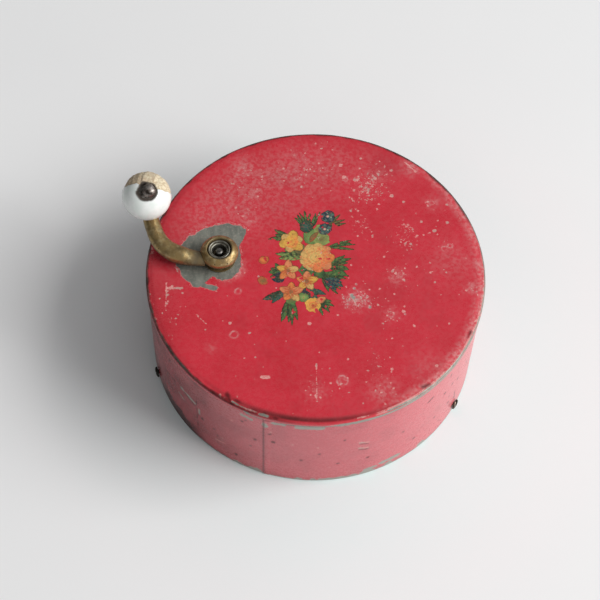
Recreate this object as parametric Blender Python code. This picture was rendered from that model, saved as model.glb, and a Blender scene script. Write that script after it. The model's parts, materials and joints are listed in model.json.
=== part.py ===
"""A round tinplate bobbin box with an off-centre hand crank.

The closed drum holds a bobbin on a central spindle. A brass crank with a
porcelain knob turns a shaft near the drum's edge, and a pair of spur gears
under the lid carries that turn to the spindle. Metres, +Z up, the origin at
the centre of the flat base.
"""

import bmesh
import bpy
from math import acos, atan2, cos, pi, radians, sin, sqrt, tan
from mathutils import Matrix, Vector

MM = 0.001

# Drum
CASE_RADIUS = 55.0 * MM
CASE_HEIGHT = 43.0 * MM
SHEET = 0.8 * MM
LID_SKIRT = 2.7 * MM
LID_EDGE_RADIUS = 2.2 * MM
LIP_DEPTH = 6.5 * MM
LIP_CLEARANCE = 0.4 * MM
BAND_INSET = 0.3 * MM
FLANGE_HEIGHT = 6.0 * MM
SEAM_ANGLE = radians(-107.3)
SEAM_WIDTH = 4.5 * MM
SEAM_RISE = 0.3 * MM
CASE_SEGMENTS = 80

# Gaps
GAP = 0.3 * MM
RUNNING = 0.35 * MM

# Small round-head screws that hold the base plate in the band
SCREW_ANGLES = (radians(-30.3), radians(-162.6), radians(82.0))
SCREW_HEIGHT = 3.4 * MM
SCREW_HEAD_RADIUS = 1.8 * MM
SCREW_HEAD_SIDE = 0.35 * MM
SCREW_HEAD_HEIGHT = 0.85 * MM
SCREW_SHANK_RADIUS = 0.7 * MM
SCREW_LENGTH = 4.5 * MM
SCREW_SLOT = 0.7 * MM
SCREW_SLOT_DEPTH = 0.5 * MM
SCREW_SLOT_TURN = radians(78.0)

# Thread outlet in the far side of the band
OUTLET_ANGLE = radians(110.0)
OUTLET_HEIGHT = 17.0 * MM
OUTLET_BORE = 1.5 * MM
EYELET_BARREL = 2.0 * MM
EYELET_FLANGE = 3.1 * MM
EYELET_LIP = 0.4 * MM

# Gears: 20 degree involute teeth, cut thin for backlash
MODULE = 0.9 * MM
DRIVE_TEETH = 42
BOBBIN_TEETH = 28
PRESSURE_ANGLE = radians(20.0)
BACKLASH = 0.24 * MM
GEAR_BOTTOM = 35.7 * MM
GEAR_THICKNESS = 3.0 * MM
CENTRE_DISTANCE = MODULE * (DRIVE_TEETH + BOBBIN_TEETH) / 2

# Crank: its shaft stands off centre
CRANK_ANGLE = radians(172.6)
CRANK_X = CENTRE_DISTANCE * cos(CRANK_ANGLE)
CRANK_Y = CENTRE_DISTANCE * sin(CRANK_ANGLE)
SHAFT_RADIUS = 2.0 * MM
SHAFT_FOOT = 29.8 * MM
SHAFT_SHOULDER = 43.9 * MM
STUB_RADIUS = 1.15 * MM
STUB_TOP = 48.5 * MM
STUB_CHAMFER = 0.4 * MM
HUB_BOTTOM = 44.2 * MM
HUB_TOP = 49.6 * MM
HUB_FLOOR = 45.2 * MM
HUB_FOOT_RADIUS = 4.4 * MM
HUB_BULGE = 1.7 * MM
HUB_RADIUS = HUB_FOOT_RADIUS + HUB_BULGE
HUB_CAVITY_RADIUS = 3.95 * MM
FERRULE_RADIUS = 3.6 * MM
FERRULE_BORE = 2.3 * MM
FERRULE_BELOW_RIM = 0.5 * MM
FERRULE_RIM = 0.75 * MM
FERRULE_EDGE = 0.2 * MM
BUSH_FLANGE_RADIUS = 5.2 * MM
BUSH_FLANGE_THICKNESS = 0.35 * MM
BUSH_RADIUS = 3.3 * MM
COVER_BUSH_FOOT = 40.4 * MM

# The arm's centreline is one Bezier curve from the hub to the knob pin
ARM_START = Vector((-36.6, 1.9, 46.6)) * MM
ARM_LEAVE = Vector((-51.8, 2.4, 46.9)) * MM
ARM_RISE = Vector((-51.9, 9.6, 48.3)) * MM
ARM_END = Vector((-55.1, 19.7, 52.1)) * MM
ARM_ROOT_RADIUS = 2.95 * MM
ARM_TIP_RADIUS = 2.35 * MM
ARM_DOME = 2.9 * MM
ARM_STEPS = 16
ARM_SIDES = 14

# Knob and the riveted pin it turns on; the pin leans with the arm's end
KNOB_AXIS = Vector((0.08, -0.37, 0.93)).normalized()
KNOB_RADIUS = 7.9 * MM
KNOB_HALF_HEIGHT = 7.4 * MM
KNOB_CENTRE = 10.7 * MM
KNOB_BOTTOM = 3.75 * MM
KNOB_TOP = 17.3 * MM
PIN_RADIUS = 1.0 * MM
PIN_HEAD_RADIUS = 2.5 * MM
PIN_HEAD_HEIGHT = 1.7 * MM
PIN_FOOT_RADIUS = 1.8 * MM
PIN_FOOT_HEIGHT = 0.9 * MM
WASHER_RADIUS = 3.6 * MM
WASHER_BOTTOM = 2.75 * MM
WASHER_THICKNESS = 0.7 * MM

# Frame inside the drum
BRIDGE_BOTTOM = 30.6 * MM
BRIDGE_THICKNESS = 1.2 * MM
BRIDGE_CORNER = 5.5 * MM
PILLAR_CIRCLE = 46.0 * MM
PILLAR_RADIUS = 3.0 * MM
SPIGOT_RADIUS = 1.3 * MM
NUT_HEIGHT = 2.2 * MM
NUT_FLATS = 5.5 * MM
SPIGOT_ABOVE_NUT = 0.5 * MM

# Spindle and bobbin
SPINDLE_RADIUS = 2.0 * MM
SPINDLE_FOOT = 1.9 * MM
SPINDLE_TOP = 39.4 * MM
COLLAR_RADIUS = 4.4 * MM
COLLAR_HEIGHT = 2.3 * MM
BRIDGE_BUSH_FLANGE = 0.6 * MM
BRIDGE_BUSH_FOOT = 1.0 * MM
FOOT_CUP_RADIUS = 5.0 * MM
FOOT_CUP_SHOULDER = 3.2 * MM
FOOT_CUP_TOP_RADIUS = 3.6 * MM
FOOT_CUP_TOP = 5.0 * MM
FOOT_CUP_FLOOR = 0.5 * MM
SPINDLE_CHAMFER = 0.6 * MM
BOBBIN_BOTTOM = 6.0 * MM
BOBBIN_FLANGE = 36.0 * MM
BOBBIN_FLANGE_THICKNESS = 1.2 * MM
BOBBIN_HEIGHT = 22.0 * MM
CORE_RADIUS = 9.0 * MM
WINDING_RADIUS = 30.0 * MM
WINDING_LAYERS = 5
WASHER_UNDER_BOBBIN = 0.4 * MM

RED = (0.56, 0.035, 0.05)
TIN = (0.42, 0.43, 0.41)
BRASS = (0.36, 0.26, 0.12)
STEEL = (0.38, 0.37, 0.35)
WOOD = (0.50, 0.33, 0.18)
PORCELAIN = (0.80, 0.82, 0.78)
THREAD = (0.83, 0.79, 0.70)


def clear_scene():
    for item in list(bpy.data.objects):
        bpy.data.objects.remove(item)


def material(name, color, roughness, metallic):
    mat = bpy.data.materials.new(name)
    mat.use_nodes = True
    shader = mat.node_tree.nodes["Principled BSDF"]
    shader.inputs["Base Color"].default_value = (*color, 1.0)
    shader.inputs["Roughness"].default_value = roughness
    shader.inputs["Metallic"].default_value = metallic
    return mat


def add_piece(name, bm, look, place=None):
    """Turns a bmesh into a named object with its own material, at a matrix."""
    bmesh.ops.recalc_face_normals(bm, faces=bm.faces)
    mesh = bpy.data.meshes.new(name)
    bm.to_mesh(mesh)
    bm.free()
    mesh.shade_smooth()
    mesh.set_sharp_from_angle(angle=radians(35.0))
    piece = bpy.data.objects.new(name, mesh)
    bpy.context.collection.objects.link(piece)
    if place is not None:
        piece.matrix_world = place
    color, roughness, metallic = look
    mesh.materials.append(material(name, color, roughness, metallic))
    return piece


def join_rings(bm, first, second):
    count = len(first)
    for i in range(count):
        bm.faces.new((first[i], first[(i + 1) % count], second[(i + 1) % count], second[i]))


def turned(profile, segments=32, swell=None):
    """Turns (radius, height) points about Z. Ends at radius 0 close on the axis;
    otherwise the profile is a closed outline and makes a ring. swell(i, angle)
    is added to the radius of profile point i."""
    bm = bmesh.new()
    loops = []
    for index, (radius, height) in enumerate(profile):
        if radius == 0.0:
            loops.append([bm.verts.new((0.0, 0.0, height))])
            continue
        loop = []
        for step in range(segments):
            angle = 2 * pi * step / segments
            r = radius + (swell(index, angle) if swell else 0.0)
            loop.append(bm.verts.new((r * cos(angle), r * sin(angle), height)))
        loops.append(loop)
    pairs = list(zip(loops, loops[1:]))
    if profile[0][0] > 0.0:
        pairs.append((loops[-1], loops[0]))
    for first, second in pairs:
        if len(first) == 1:
            for i in range(segments):
                bm.faces.new((first[0], second[i], second[(i + 1) % segments]))
        elif len(second) == 1:
            for i in range(segments):
                bm.faces.new((second[0], first[(i + 1) % segments], first[i]))
        else:
            join_rings(bm, first, second)
    return bm


def oval(centre, across, upward, start, end, steps):
    """Points of an elliptic arc in a turned profile, angles in degrees."""
    points = []
    for i in range(steps + 1):
        angle = radians(start + (end - start) * i / steps)
        points.append((centre[0] + across * cos(angle), centre[1] + upward * sin(angle)))
    return points


def arc(centre, radius, start, end, steps):
    return oval(centre, radius, radius, start, end, steps)


def tube(inner, outer, bottom, top, segments=32):
    return turned([(inner, bottom), (outer, bottom), (outer, top), (inner, top)], segments)


def circle(radius, steps, centre=(0.0, 0.0), start=0.0):
    return [(centre[0] + radius * cos(start + 2 * pi * i / steps),
             centre[1] + radius * sin(start + 2 * pi * i / steps)) for i in range(steps)]


def plate(outlines, bottom, thickness):
    """A flat plate: the first outline is its edge and the others are holes."""
    bm = bmesh.new()
    edges = []
    for outline in outlines:
        verts = [bm.verts.new((x, y, bottom)) for x, y in outline]
        edges += [bm.edges.new((verts[i - 1], verts[i])) for i in range(len(verts))]
    bmesh.ops.triangle_fill(bm, use_beauty=True, use_dissolve=False, edges=edges, normal=(0, 0, 1))
    result = bmesh.ops.extrude_face_region(bm, geom=bm.faces[:], use_keep_orig=True)
    raised = [item for item in result["geom"] if isinstance(item, bmesh.types.BMVert)]
    bmesh.ops.translate(bm, verts=raised, vec=(0.0, 0.0, thickness))
    return bm


def gear_outline(teeth, first_tooth):
    """One closed outline of involute teeth; first_tooth is a tooth's middle angle."""
    pitch = MODULE * teeth / 2
    base = pitch * cos(PRESSURE_ANGLE)
    tip = pitch + MODULE
    root = pitch - 1.25 * MODULE
    involute_at_pitch = tan(PRESSURE_ANGLE) - PRESSURE_ANGLE
    half_tooth = pi / (2 * teeth) - BACKLASH / (4 * pitch)

    def half_angle(radius):
        roll = acos(min(1.0, base / radius))
        return half_tooth + involute_at_pitch - (tan(roll) - roll)

    lowest = max(root, base)
    radii = [lowest + (tip - lowest) * i / 2 for i in range(3)]
    points = []
    for tooth in range(teeth):
        middle = first_tooth + 2 * pi * tooth / teeth
        flank = [(root, half_angle(lowest))] if root < base else []
        flank += [(radius, half_angle(radius)) for radius in radii]
        for radius, half in flank:
            points.append((radius * cos(middle - half), radius * sin(middle - half)))
        for radius, half in reversed(flank):
            points.append((radius * cos(middle + half), radius * sin(middle + half)))
    return points


def cylinder_cutter(name, radius, length, place, segments=24):
    """A guide cylinder along local Z, from 0 to length, that only cuts."""
    bm = turned([(0.0, 0.0), (radius, 0.0), (radius, length), (0.0, length)], segments)
    bmesh.ops.recalc_face_normals(bm, faces=bm.faces)
    mesh = bpy.data.meshes.new(name)
    bm.to_mesh(mesh)
    bm.free()
    cutter = bpy.data.objects.new(name, mesh)
    bpy.context.collection.objects.link(cutter)
    cutter.matrix_world = place
    cutter.hide_render = True
    cutter.display_type = "WIRE"
    return cutter


def cut(piece, cutter):
    modifier = piece.modifiers.new("cut_" + cutter.name, "BOOLEAN")
    modifier.operation = "DIFFERENCE"
    modifier.solver = "EXACT"
    modifier.object = cutter


def radial(angle, radius, height):
    """A matrix at a point of the drum's side whose local Z points outward."""
    outward = Vector((cos(angle), sin(angle), 0.0))
    upward = Vector((0.0, 0.0, 1.0))
    across = upward.cross(outward)
    turn = Matrix((across, upward, outward)).transposed().to_4x4()
    return Matrix.Translation(outward * radius + upward * height) @ turn


def knob_frame():
    """A matrix at the arm's end whose local Z is the knob's axis."""
    turn = KNOB_AXIS.to_track_quat("Z", "Y").to_matrix().to_4x4()
    return Matrix.Translation(ARM_END) @ turn


def at_crank():
    return Matrix.Translation((CRANK_X, CRANK_Y, 0.0))


# ---- drum -------------------------------------------------------------------

def band_radius():
    return CASE_RADIUS - BAND_INSET


def make_top_cover():
    inside = band_radius() - SHEET - LIP_CLEARANCE
    skirt_end = CASE_HEIGHT - LID_SKIRT
    corner = (CASE_RADIUS - LID_EDGE_RADIUS, CASE_HEIGHT - LID_EDGE_RADIUS)
    profile = [(0.0, CASE_HEIGHT)]
    profile += arc(corner, LID_EDGE_RADIUS, 90, 0, 3)
    profile += [(CASE_RADIUS, skirt_end), (inside, skirt_end), (inside, CASE_HEIGHT - LIP_DEPTH),
                (inside - SHEET, CASE_HEIGHT - LIP_DEPTH), (inside - SHEET, CASE_HEIGHT - SHEET),
                (0.0, CASE_HEIGHT - SHEET)]
    cover = add_piece("top_cover", turned(profile, CASE_SEGMENTS), (RED, 0.35, 0.0))
    hole = Matrix.Translation((CRANK_X, CRANK_Y, CASE_HEIGHT - 3 * SHEET))
    cut(cover, cylinder_cutter("bush_hole", BUSH_RADIUS + RUNNING, 6 * SHEET, hole, 32))


def make_side_band():
    outer = band_radius()
    inner = outer - SHEET
    half_seam = SEAM_WIDTH / outer / 2

    def seam(index, angle):
        """Where the sheet's end laps over itself, the outside stands proud."""
        away = abs(atan2(sin(angle - SEAM_ANGLE), cos(angle - SEAM_ANGLE)))
        return SEAM_RISE if index in (1, 2) and away < half_seam else 0.0

    top = CASE_HEIGHT - LID_SKIRT - GAP
    profile = [(inner, 0.0), (outer, 0.0), (outer, top), (inner, top)]
    band = add_piece("side_band", turned(profile, CASE_SEGMENTS, seam), (RED, 0.35, 0.0))
    for number, angle in enumerate(SCREW_ANGLES, 1):
        place = radial(angle, inner - 2 * SHEET, SCREW_HEIGHT)
        cutter = cylinder_cutter(f"band_hole_{number}", SCREW_SHANK_RADIUS + RUNNING, 6 * SHEET, place)
        cut(band, cutter)
    outlet = radial(OUTLET_ANGLE, inner - 2 * SHEET, OUTLET_HEIGHT)
    cut(band, cylinder_cutter("outlet_hole", EYELET_BARREL + RUNNING, 6 * SHEET, outlet))


def make_base_plate():
    outer = band_radius() - SHEET - LIP_CLEARANCE
    inner = outer - SHEET
    profile = [(0.0, 0.0), (outer, 0.0), (outer, FLANGE_HEIGHT), (inner, FLANGE_HEIGHT),
               (inner, SHEET), (0.0, SHEET)]
    base = add_piece("base_plate", turned(profile, CASE_SEGMENTS), (TIN, 0.45, 0.9))
    for number, angle in enumerate(SCREW_ANGLES, 1):
        place = radial(angle, inner - 2 * SHEET, SCREW_HEIGHT)
        cutter = cylinder_cutter(f"base_hole_{number}", SCREW_SHANK_RADIUS + RUNNING, 6 * SHEET, place)
        cut(base, cutter)


def make_base_screws():
    seat = band_radius() + GAP
    for number, angle in enumerate(SCREW_ANGLES, 1):
        crown = oval((0.0, SCREW_HEAD_SIDE), SCREW_HEAD_RADIUS, SCREW_HEAD_HEIGHT - SCREW_HEAD_SIDE, 0, 90, 5)
        profile = [(0.0, -SCREW_LENGTH), (SCREW_SHANK_RADIUS, -SCREW_LENGTH), (SCREW_SHANK_RADIUS, 0.0),
                   (SCREW_HEAD_RADIUS, 0.0)]
        profile += crown[:-1] + [(0.0, SCREW_HEAD_HEIGHT)]
        screw = add_piece(f"base_screw_{number}", turned(profile, 20), (STEEL, 0.5, 1.0),
                          radial(angle, seat, SCREW_HEIGHT))
        slot = bmesh.new()
        bmesh.ops.create_cube(slot, size=1.0)
        size = (4 * SCREW_HEAD_RADIUS, SCREW_SLOT, 2 * SCREW_SLOT_DEPTH)
        bmesh.ops.scale(slot, verts=slot.verts, vec=size)
        mesh = bpy.data.meshes.new(f"slot_{number}")
        slot.to_mesh(mesh)
        slot.free()
        cutter = bpy.data.objects.new(f"slot_{number}", mesh)
        bpy.context.collection.objects.link(cutter)
        top = radial(angle, seat + SCREW_HEAD_HEIGHT, SCREW_HEIGHT)
        cutter.matrix_world = top @ Matrix.Rotation(SCREW_SLOT_TURN, 4, "Z")
        cutter.hide_render = True
        cutter.display_type = "WIRE"
        cut(screw, cutter)


def make_thread_eyelet():
    """A brass eyelet through the band, its flange outside."""
    outside = GAP
    inside = -SHEET - 2 * GAP
    profile = [(OUTLET_BORE, inside), (EYELET_BARREL, inside), (EYELET_BARREL, outside),
               (EYELET_FLANGE, outside), (EYELET_FLANGE, outside + EYELET_LIP)]
    profile += [(EYELET_BARREL, outside + 2 * EYELET_LIP), (OUTLET_BORE, outside + 1.25 * EYELET_LIP)]
    add_piece("thread_eyelet", turned(profile, 28), (BRASS, 0.4, 1.0),
              radial(OUTLET_ANGLE, band_radius(), OUTLET_HEIGHT))


# ---- crank ------------------------------------------------------------------

def make_cover_bush():
    flange_bottom = CASE_HEIGHT + GAP
    bore = SHAFT_RADIUS + RUNNING
    flange_top = flange_bottom + BUSH_FLANGE_THICKNESS
    profile = [(bore, COVER_BUSH_FOOT), (BUSH_RADIUS, COVER_BUSH_FOOT), (BUSH_RADIUS, flange_bottom),
               (BUSH_FLANGE_RADIUS, flange_bottom), (BUSH_FLANGE_RADIUS, flange_top), (bore, flange_top)]
    add_piece("cover_bush", turned(profile), (BRASS, 0.5, 1.0), at_crank())


def make_crank_shaft():
    profile = [(0.0, SHAFT_FOOT), (SHAFT_RADIUS, SHAFT_FOOT), (SHAFT_RADIUS, SHAFT_SHOULDER),
               (STUB_RADIUS, SHAFT_SHOULDER), (STUB_RADIUS, STUB_TOP - STUB_CHAMFER),
               (STUB_RADIUS - STUB_CHAMFER, STUB_TOP), (0.0, STUB_TOP)]
    add_piece("crank_shaft", turned(profile, 24), (STEEL, 0.35, 1.0), at_crank())


def make_crank_hub():
    """A squat brass barrel, fullest at mid height, round a deep cavity."""
    half = (HUB_TOP - HUB_BOTTOM) / 2
    lip = HUB_FOOT_RADIUS - HUB_CAVITY_RADIUS
    profile = [(STUB_RADIUS + RUNNING, HUB_BOTTOM)]
    for i in range(11):
        angle = radians(-90.0 + 18.0 * i)
        bulge = HUB_BULGE * abs(cos(angle)) ** 1.5
        profile.append((HUB_FOOT_RADIUS + bulge, HUB_BOTTOM + half * (1.0 + sin(angle))))
    profile += arc((HUB_FOOT_RADIUS, HUB_TOP - lip), lip, 135, 180, 1)
    profile += [(HUB_CAVITY_RADIUS, HUB_FLOOR), (STUB_RADIUS + RUNNING, HUB_FLOOR)]
    add_piece("crank_hub", turned(profile, 28), (BRASS, 0.3, 1.0), at_crank())


def make_hub_ferrule():
    """A pale steel ring pressed into the hub, with a stepped mouth."""
    bottom = HUB_FLOOR + GAP
    top = HUB_TOP - FERRULE_BELOW_RIM
    step = FERRULE_RADIUS - FERRULE_RIM
    profile = [(FERRULE_BORE, bottom), (FERRULE_RADIUS, bottom), (FERRULE_RADIUS, top - FERRULE_EDGE),
               (FERRULE_RADIUS - FERRULE_EDGE, top), (step + FERRULE_EDGE / 2, top),
               (step, top - 3 * FERRULE_EDGE), (FERRULE_BORE, top - 3.5 * FERRULE_EDGE)]
    add_piece("hub_ferrule", turned(profile, 32), (STEEL, 0.35, 1.0), at_crank())


def arm_point(t):
    u = 1.0 - t
    return u**3 * ARM_START + 3 * u * u * t * ARM_LEAVE + 3 * u * t * t * ARM_RISE + t**3 * ARM_END


def make_crank_arm():
    """A round bar that tapers along the curve and ends in a dome past the pin."""
    centres = [arm_point(i / ARM_STEPS) for i in range(ARM_STEPS + 1)]
    sizes = [ARM_ROOT_RADIUS + (ARM_TIP_RADIUS - ARM_ROOT_RADIUS) * i / ARM_STEPS
             for i in range(ARM_STEPS + 1)]
    ahead = (centres[-1] - centres[-2]).normalized()
    for share in (0.45, 0.75, 0.95):
        centres.append(ARM_END + ahead * ARM_DOME * share)
        sizes.append(ARM_TIP_RADIUS * sqrt(1.0 - share * share))
    bm = bmesh.new()
    side = Vector((0.0, 0.0, 1.0))
    rings = []
    for i, centre in enumerate(centres):
        before = centres[max(0, i - 1)]
        after = centres[min(len(centres) - 1, i + 1)]
        along = (after - before).normalized()
        side = (side - along * side.dot(along)).normalized()
        other = along.cross(side)
        rings.append([bm.verts.new(centre + sizes[i] * (side * cos(2 * pi * k / ARM_SIDES)
                                                        + other * sin(2 * pi * k / ARM_SIDES)))
                      for k in range(ARM_SIDES)])
    for first, second in zip(rings, rings[1:]):
        join_rings(bm, first, second)
    bm.faces.new(rings[0])
    bm.faces.new(rings[-1])
    arm = add_piece("crank_arm", bm, (BRASS, 0.4, 1.0))
    reach = 2 * ARM_TIP_RADIUS
    bore = knob_frame() @ Matrix.Translation((0.0, 0.0, -reach))
    cut(arm, cylinder_cutter("pin_hole", PIN_RADIUS + GAP, 2 * reach, bore))
    hub_height = HUB_TOP - HUB_BOTTOM
    around = at_crank() @ Matrix.Translation((0.0, 0.0, HUB_BOTTOM - hub_height))
    cut(arm, cylinder_cutter("hub_clearance", HUB_RADIUS + GAP, 3 * hub_height, around, 40))


def make_knob_pin():
    """A riveted pin: peened foot under the arm, domed head on the knob."""
    foot = -ARM_TIP_RADIUS - GAP
    head = KNOB_TOP + GAP
    profile = [(0.0, foot - PIN_FOOT_HEIGHT)]
    profile += oval((0.0, foot), PIN_FOOT_RADIUS, -PIN_FOOT_HEIGHT, 60, 0, 2)
    profile += [
        (PIN_RADIUS, foot), (PIN_RADIUS, head)]
    profile += oval((0.0, head), PIN_HEAD_RADIUS, PIN_HEAD_HEIGHT, 0, 90, 5)[:-1]
    profile.append((0.0, head + PIN_HEAD_HEIGHT))
    add_piece("knob_pin", turned(profile, 24), (STEEL, 0.5, 1.0), knob_frame())


def make_knob_washer():
    bm = tube(PIN_RADIUS + GAP, WASHER_RADIUS, WASHER_BOTTOM, WASHER_BOTTOM + WASHER_THICKNESS)
    add_piece("knob_washer", bm, (BRASS, 0.45, 1.0), knob_frame())


def make_knob():
    """A nearly round ball, flat where it meets the washer and the pin's head."""
    def ball_angle(height):
        return acos((height - KNOB_CENTRE) / KNOB_HALF_HEIGHT)

    bore = PIN_RADIUS + RUNNING
    low, high = ball_angle(KNOB_BOTTOM), ball_angle(KNOB_TOP)
    profile = [(bore, KNOB_BOTTOM)]
    steps = 11
    for i in range(steps + 1):
        angle = low + (high - low) * i / steps
        profile.append((KNOB_RADIUS * sin(angle), KNOB_CENTRE + KNOB_HALF_HEIGHT * cos(angle)))
    profile.append((bore, KNOB_TOP))
    add_piece("knob", turned(profile, 28), (PORCELAIN, 0.15, 0.0), knob_frame())


# ---- gears, shafts and bearings ----------------------------------------------

def make_gears():
    meshing = CRANK_ANGLE + pi
    drive = plate([gear_outline(DRIVE_TEETH, meshing), circle(SHAFT_RADIUS + GAP, 24)],
                  GEAR_BOTTOM, GEAR_THICKNESS)
    add_piece("drive_gear", drive, (BRASS, 0.35, 1.0), at_crank())
    facing = CRANK_ANGLE + pi / BOBBIN_TEETH
    driven = plate([gear_outline(BOBBIN_TEETH, facing), circle(SPINDLE_RADIUS + GAP, 24)],
                   GEAR_BOTTOM, GEAR_THICKNESS)
    add_piece("bobbin_gear", driven, (BRASS, 0.35, 1.0))


def make_collars():
    bottom = GEAR_BOTTOM - GAP - COLLAR_HEIGHT
    for name, radius, place in (("shaft_collar", SHAFT_RADIUS, at_crank()),
                                ("spindle_collar", SPINDLE_RADIUS, Matrix())):
        bm = tube(radius + GAP, COLLAR_RADIUS, bottom, bottom + COLLAR_HEIGHT)
        add_piece(name, bm, (STEEL, 0.4, 1.0), place)


def make_bridge_bushes():
    """Flanged bushes in the bridge, one for each shaft."""
    top = BRIDGE_BOTTOM + BRIDGE_THICKNESS + GAP
    for name, radius, place in (("crank_foot_bush", SHAFT_RADIUS, at_crank()),
                                ("spindle_top_bush", SPINDLE_RADIUS, Matrix())):
        bore = radius + RUNNING
        foot = BRIDGE_BOTTOM - BRIDGE_BUSH_FOOT
        flange_top = top + BRIDGE_BUSH_FLANGE
        profile = [(bore, foot), (BUSH_RADIUS, foot), (BUSH_RADIUS, top), (COLLAR_RADIUS, top),
                   (COLLAR_RADIUS, flange_top), (bore, flange_top)]
        add_piece(name, turned(profile, 28), (BRASS, 0.4, 1.0), place)


def make_spindle():
    profile = [(0.0, SPINDLE_FOOT), (SPINDLE_RADIUS - SPINDLE_CHAMFER, SPINDLE_FOOT),
               (SPINDLE_RADIUS, SPINDLE_FOOT + SPINDLE_CHAMFER), (SPINDLE_RADIUS, SPINDLE_TOP),
               (0.0, SPINDLE_TOP)]
    add_piece("bobbin_spindle", turned(profile, 24), (STEEL, 0.35, 1.0))


def make_foot_bearing():
    """A brass cup on the base plate that carries the spindle's foot."""
    bottom = SHEET + GAP
    bore = SPINDLE_RADIUS + RUNNING
    floor = bottom + FOOT_CUP_FLOOR
    profile = [(0.0, bottom), (FOOT_CUP_RADIUS, bottom), (FOOT_CUP_RADIUS, FOOT_CUP_SHOULDER),
               (FOOT_CUP_TOP_RADIUS, FOOT_CUP_TOP), (bore, FOOT_CUP_TOP), (bore, floor), (0.0, floor)]
    add_piece("spindle_foot_bearing", turned(profile, 28), (BRASS, 0.4, 1.0))


# ---- frame inside the drum -----------------------------------------------------

def pillar_places():
    angles = [CRANK_ANGLE + 2 * pi * k / 3 for k in range(3)]
    return [(PILLAR_CIRCLE * cos(angle), PILLAR_CIRCLE * sin(angle), angle) for angle in angles]


def make_gear_bridge():
    """A three-cornered plate with round corners over the pillars."""
    outline = []
    for x, y, angle in pillar_places():
        for i in range(9):
            turn = angle + radians(-60.0 + 15.0 * i)
            outline.append((x + BRIDGE_CORNER * cos(turn), y + BRIDGE_CORNER * sin(turn)))
    holes = [circle(BUSH_RADIUS + GAP, 24), circle(BUSH_RADIUS + GAP, 24, (CRANK_X, CRANK_Y))]
    holes += [circle(SPIGOT_RADIUS + GAP, 16, (x, y)) for x, y, _ in pillar_places()]
    bm = plate([outline] + holes, BRIDGE_BOTTOM, BRIDGE_THICKNESS)
    add_piece("gear_bridge", bm, (TIN, 0.4, 1.0))


def make_pillars():
    shoulder = BRIDGE_BOTTOM - GAP
    nut_bottom = BRIDGE_BOTTOM + BRIDGE_THICKNESS + GAP
    spigot_top = nut_bottom + NUT_HEIGHT + SPIGOT_ABOVE_NUT
    for number, (x, y, angle) in enumerate(pillar_places(), 1):
        place = Matrix.Translation((x, y, 0.0))
        profile = [(0.0, SHEET + GAP), (PILLAR_RADIUS, SHEET + GAP), (PILLAR_RADIUS, shoulder),
                   (SPIGOT_RADIUS, shoulder), (SPIGOT_RADIUS, spigot_top), (0.0, spigot_top)]
        add_piece(f"bridge_pillar_{number}", turned(profile, 24), (STEEL, 0.4, 1.0), place)
        corner = NUT_FLATS / 2 / cos(pi / 6)
        nut = plate([circle(corner, 6, start=angle), circle(SPIGOT_RADIUS + GAP, 20)],
                    nut_bottom, NUT_HEIGHT)
        add_piece(f"pillar_nut_{number}", nut, (BRASS, 0.4, 1.0), place)


# ---- bobbin ----------------------------------------------------------------------

def make_bobbin():
    bore = SPINDLE_RADIUS + GAP
    core_bottom = BOBBIN_BOTTOM + BOBBIN_FLANGE_THICKNESS + GAP
    core_top = BOBBIN_BOTTOM + BOBBIN_HEIGHT - BOBBIN_FLANGE_THICKNESS - GAP
    edge = BOBBIN_FLANGE_THICKNESS / 2
    for name, bottom in (("bobbin_lower_flange", BOBBIN_BOTTOM), ("bobbin_upper_flange", core_top + GAP)):
        profile = [(bore, bottom)]
        profile += arc((BOBBIN_FLANGE - edge, bottom + edge), edge, -90, 90, 2)
        profile += [(bore, bottom + 2 * edge)]
        add_piece(name, turned(profile, 48), (WOOD, 0.5, 0.0))
    add_piece("bobbin_core", tube(bore, CORE_RADIUS, core_bottom, core_top, 36), (WOOD, 0.5, 0.0))
    washer_top = BOBBIN_BOTTOM - GAP
    rest = tube(bore, COLLAR_RADIUS, washer_top - WASHER_UNDER_BOBBIN, washer_top, 28)
    add_piece("bobbin_washer", rest, (BRASS, 0.4, 1.0))
    pitch = (core_top - core_bottom - 2 * GAP) / WINDING_LAYERS
    profile = [(CORE_RADIUS + GAP, core_bottom + GAP)]
    for layer in range(WINDING_LAYERS):
        middle = core_bottom + GAP + (layer + 0.5) * pitch
        profile += arc((WINDING_RADIUS - pitch / 2, middle), pitch / 2.2, -50, 50, 1)
    profile.append((CORE_RADIUS + GAP, core_top - GAP))
    add_piece("thread_winding", turned(profile, 36), (THREAD, 0.8, 0.0))


clear_scene()
make_top_cover()
make_side_band()
make_base_plate()
make_base_screws()
make_thread_eyelet()
make_cover_bush()
make_crank_shaft()
make_crank_hub()
make_hub_ferrule()
make_crank_arm()
make_knob_pin()
make_knob_washer()
make_knob()
make_gears()
make_collars()
make_bridge_bushes()
make_spindle()
make_foot_bearing()
make_gear_bridge()
make_pillars()
make_bobbin()
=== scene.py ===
"""Looks of a round red tin bobbin box with a brass crank, built round its CAD frame.

Shapes here are worked out in millimetres and scaled to metres when a mesh is made.
Lid marks are placed in the lid's plane, wall marks by azimuth and height.
"""

import json
from math import atan2, cos, degrees, pi, radians, sin, sqrt

import bmesh
import bpy
import numpy as np
from mathutils import Matrix, Vector


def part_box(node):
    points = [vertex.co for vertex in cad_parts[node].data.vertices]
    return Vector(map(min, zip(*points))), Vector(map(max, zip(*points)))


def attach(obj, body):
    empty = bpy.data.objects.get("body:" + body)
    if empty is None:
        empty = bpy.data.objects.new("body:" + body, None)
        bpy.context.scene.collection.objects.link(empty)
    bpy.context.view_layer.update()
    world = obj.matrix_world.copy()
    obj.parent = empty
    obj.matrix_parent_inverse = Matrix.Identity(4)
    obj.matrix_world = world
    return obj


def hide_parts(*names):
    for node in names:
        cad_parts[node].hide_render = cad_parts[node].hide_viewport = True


MM = 0.001

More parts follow.
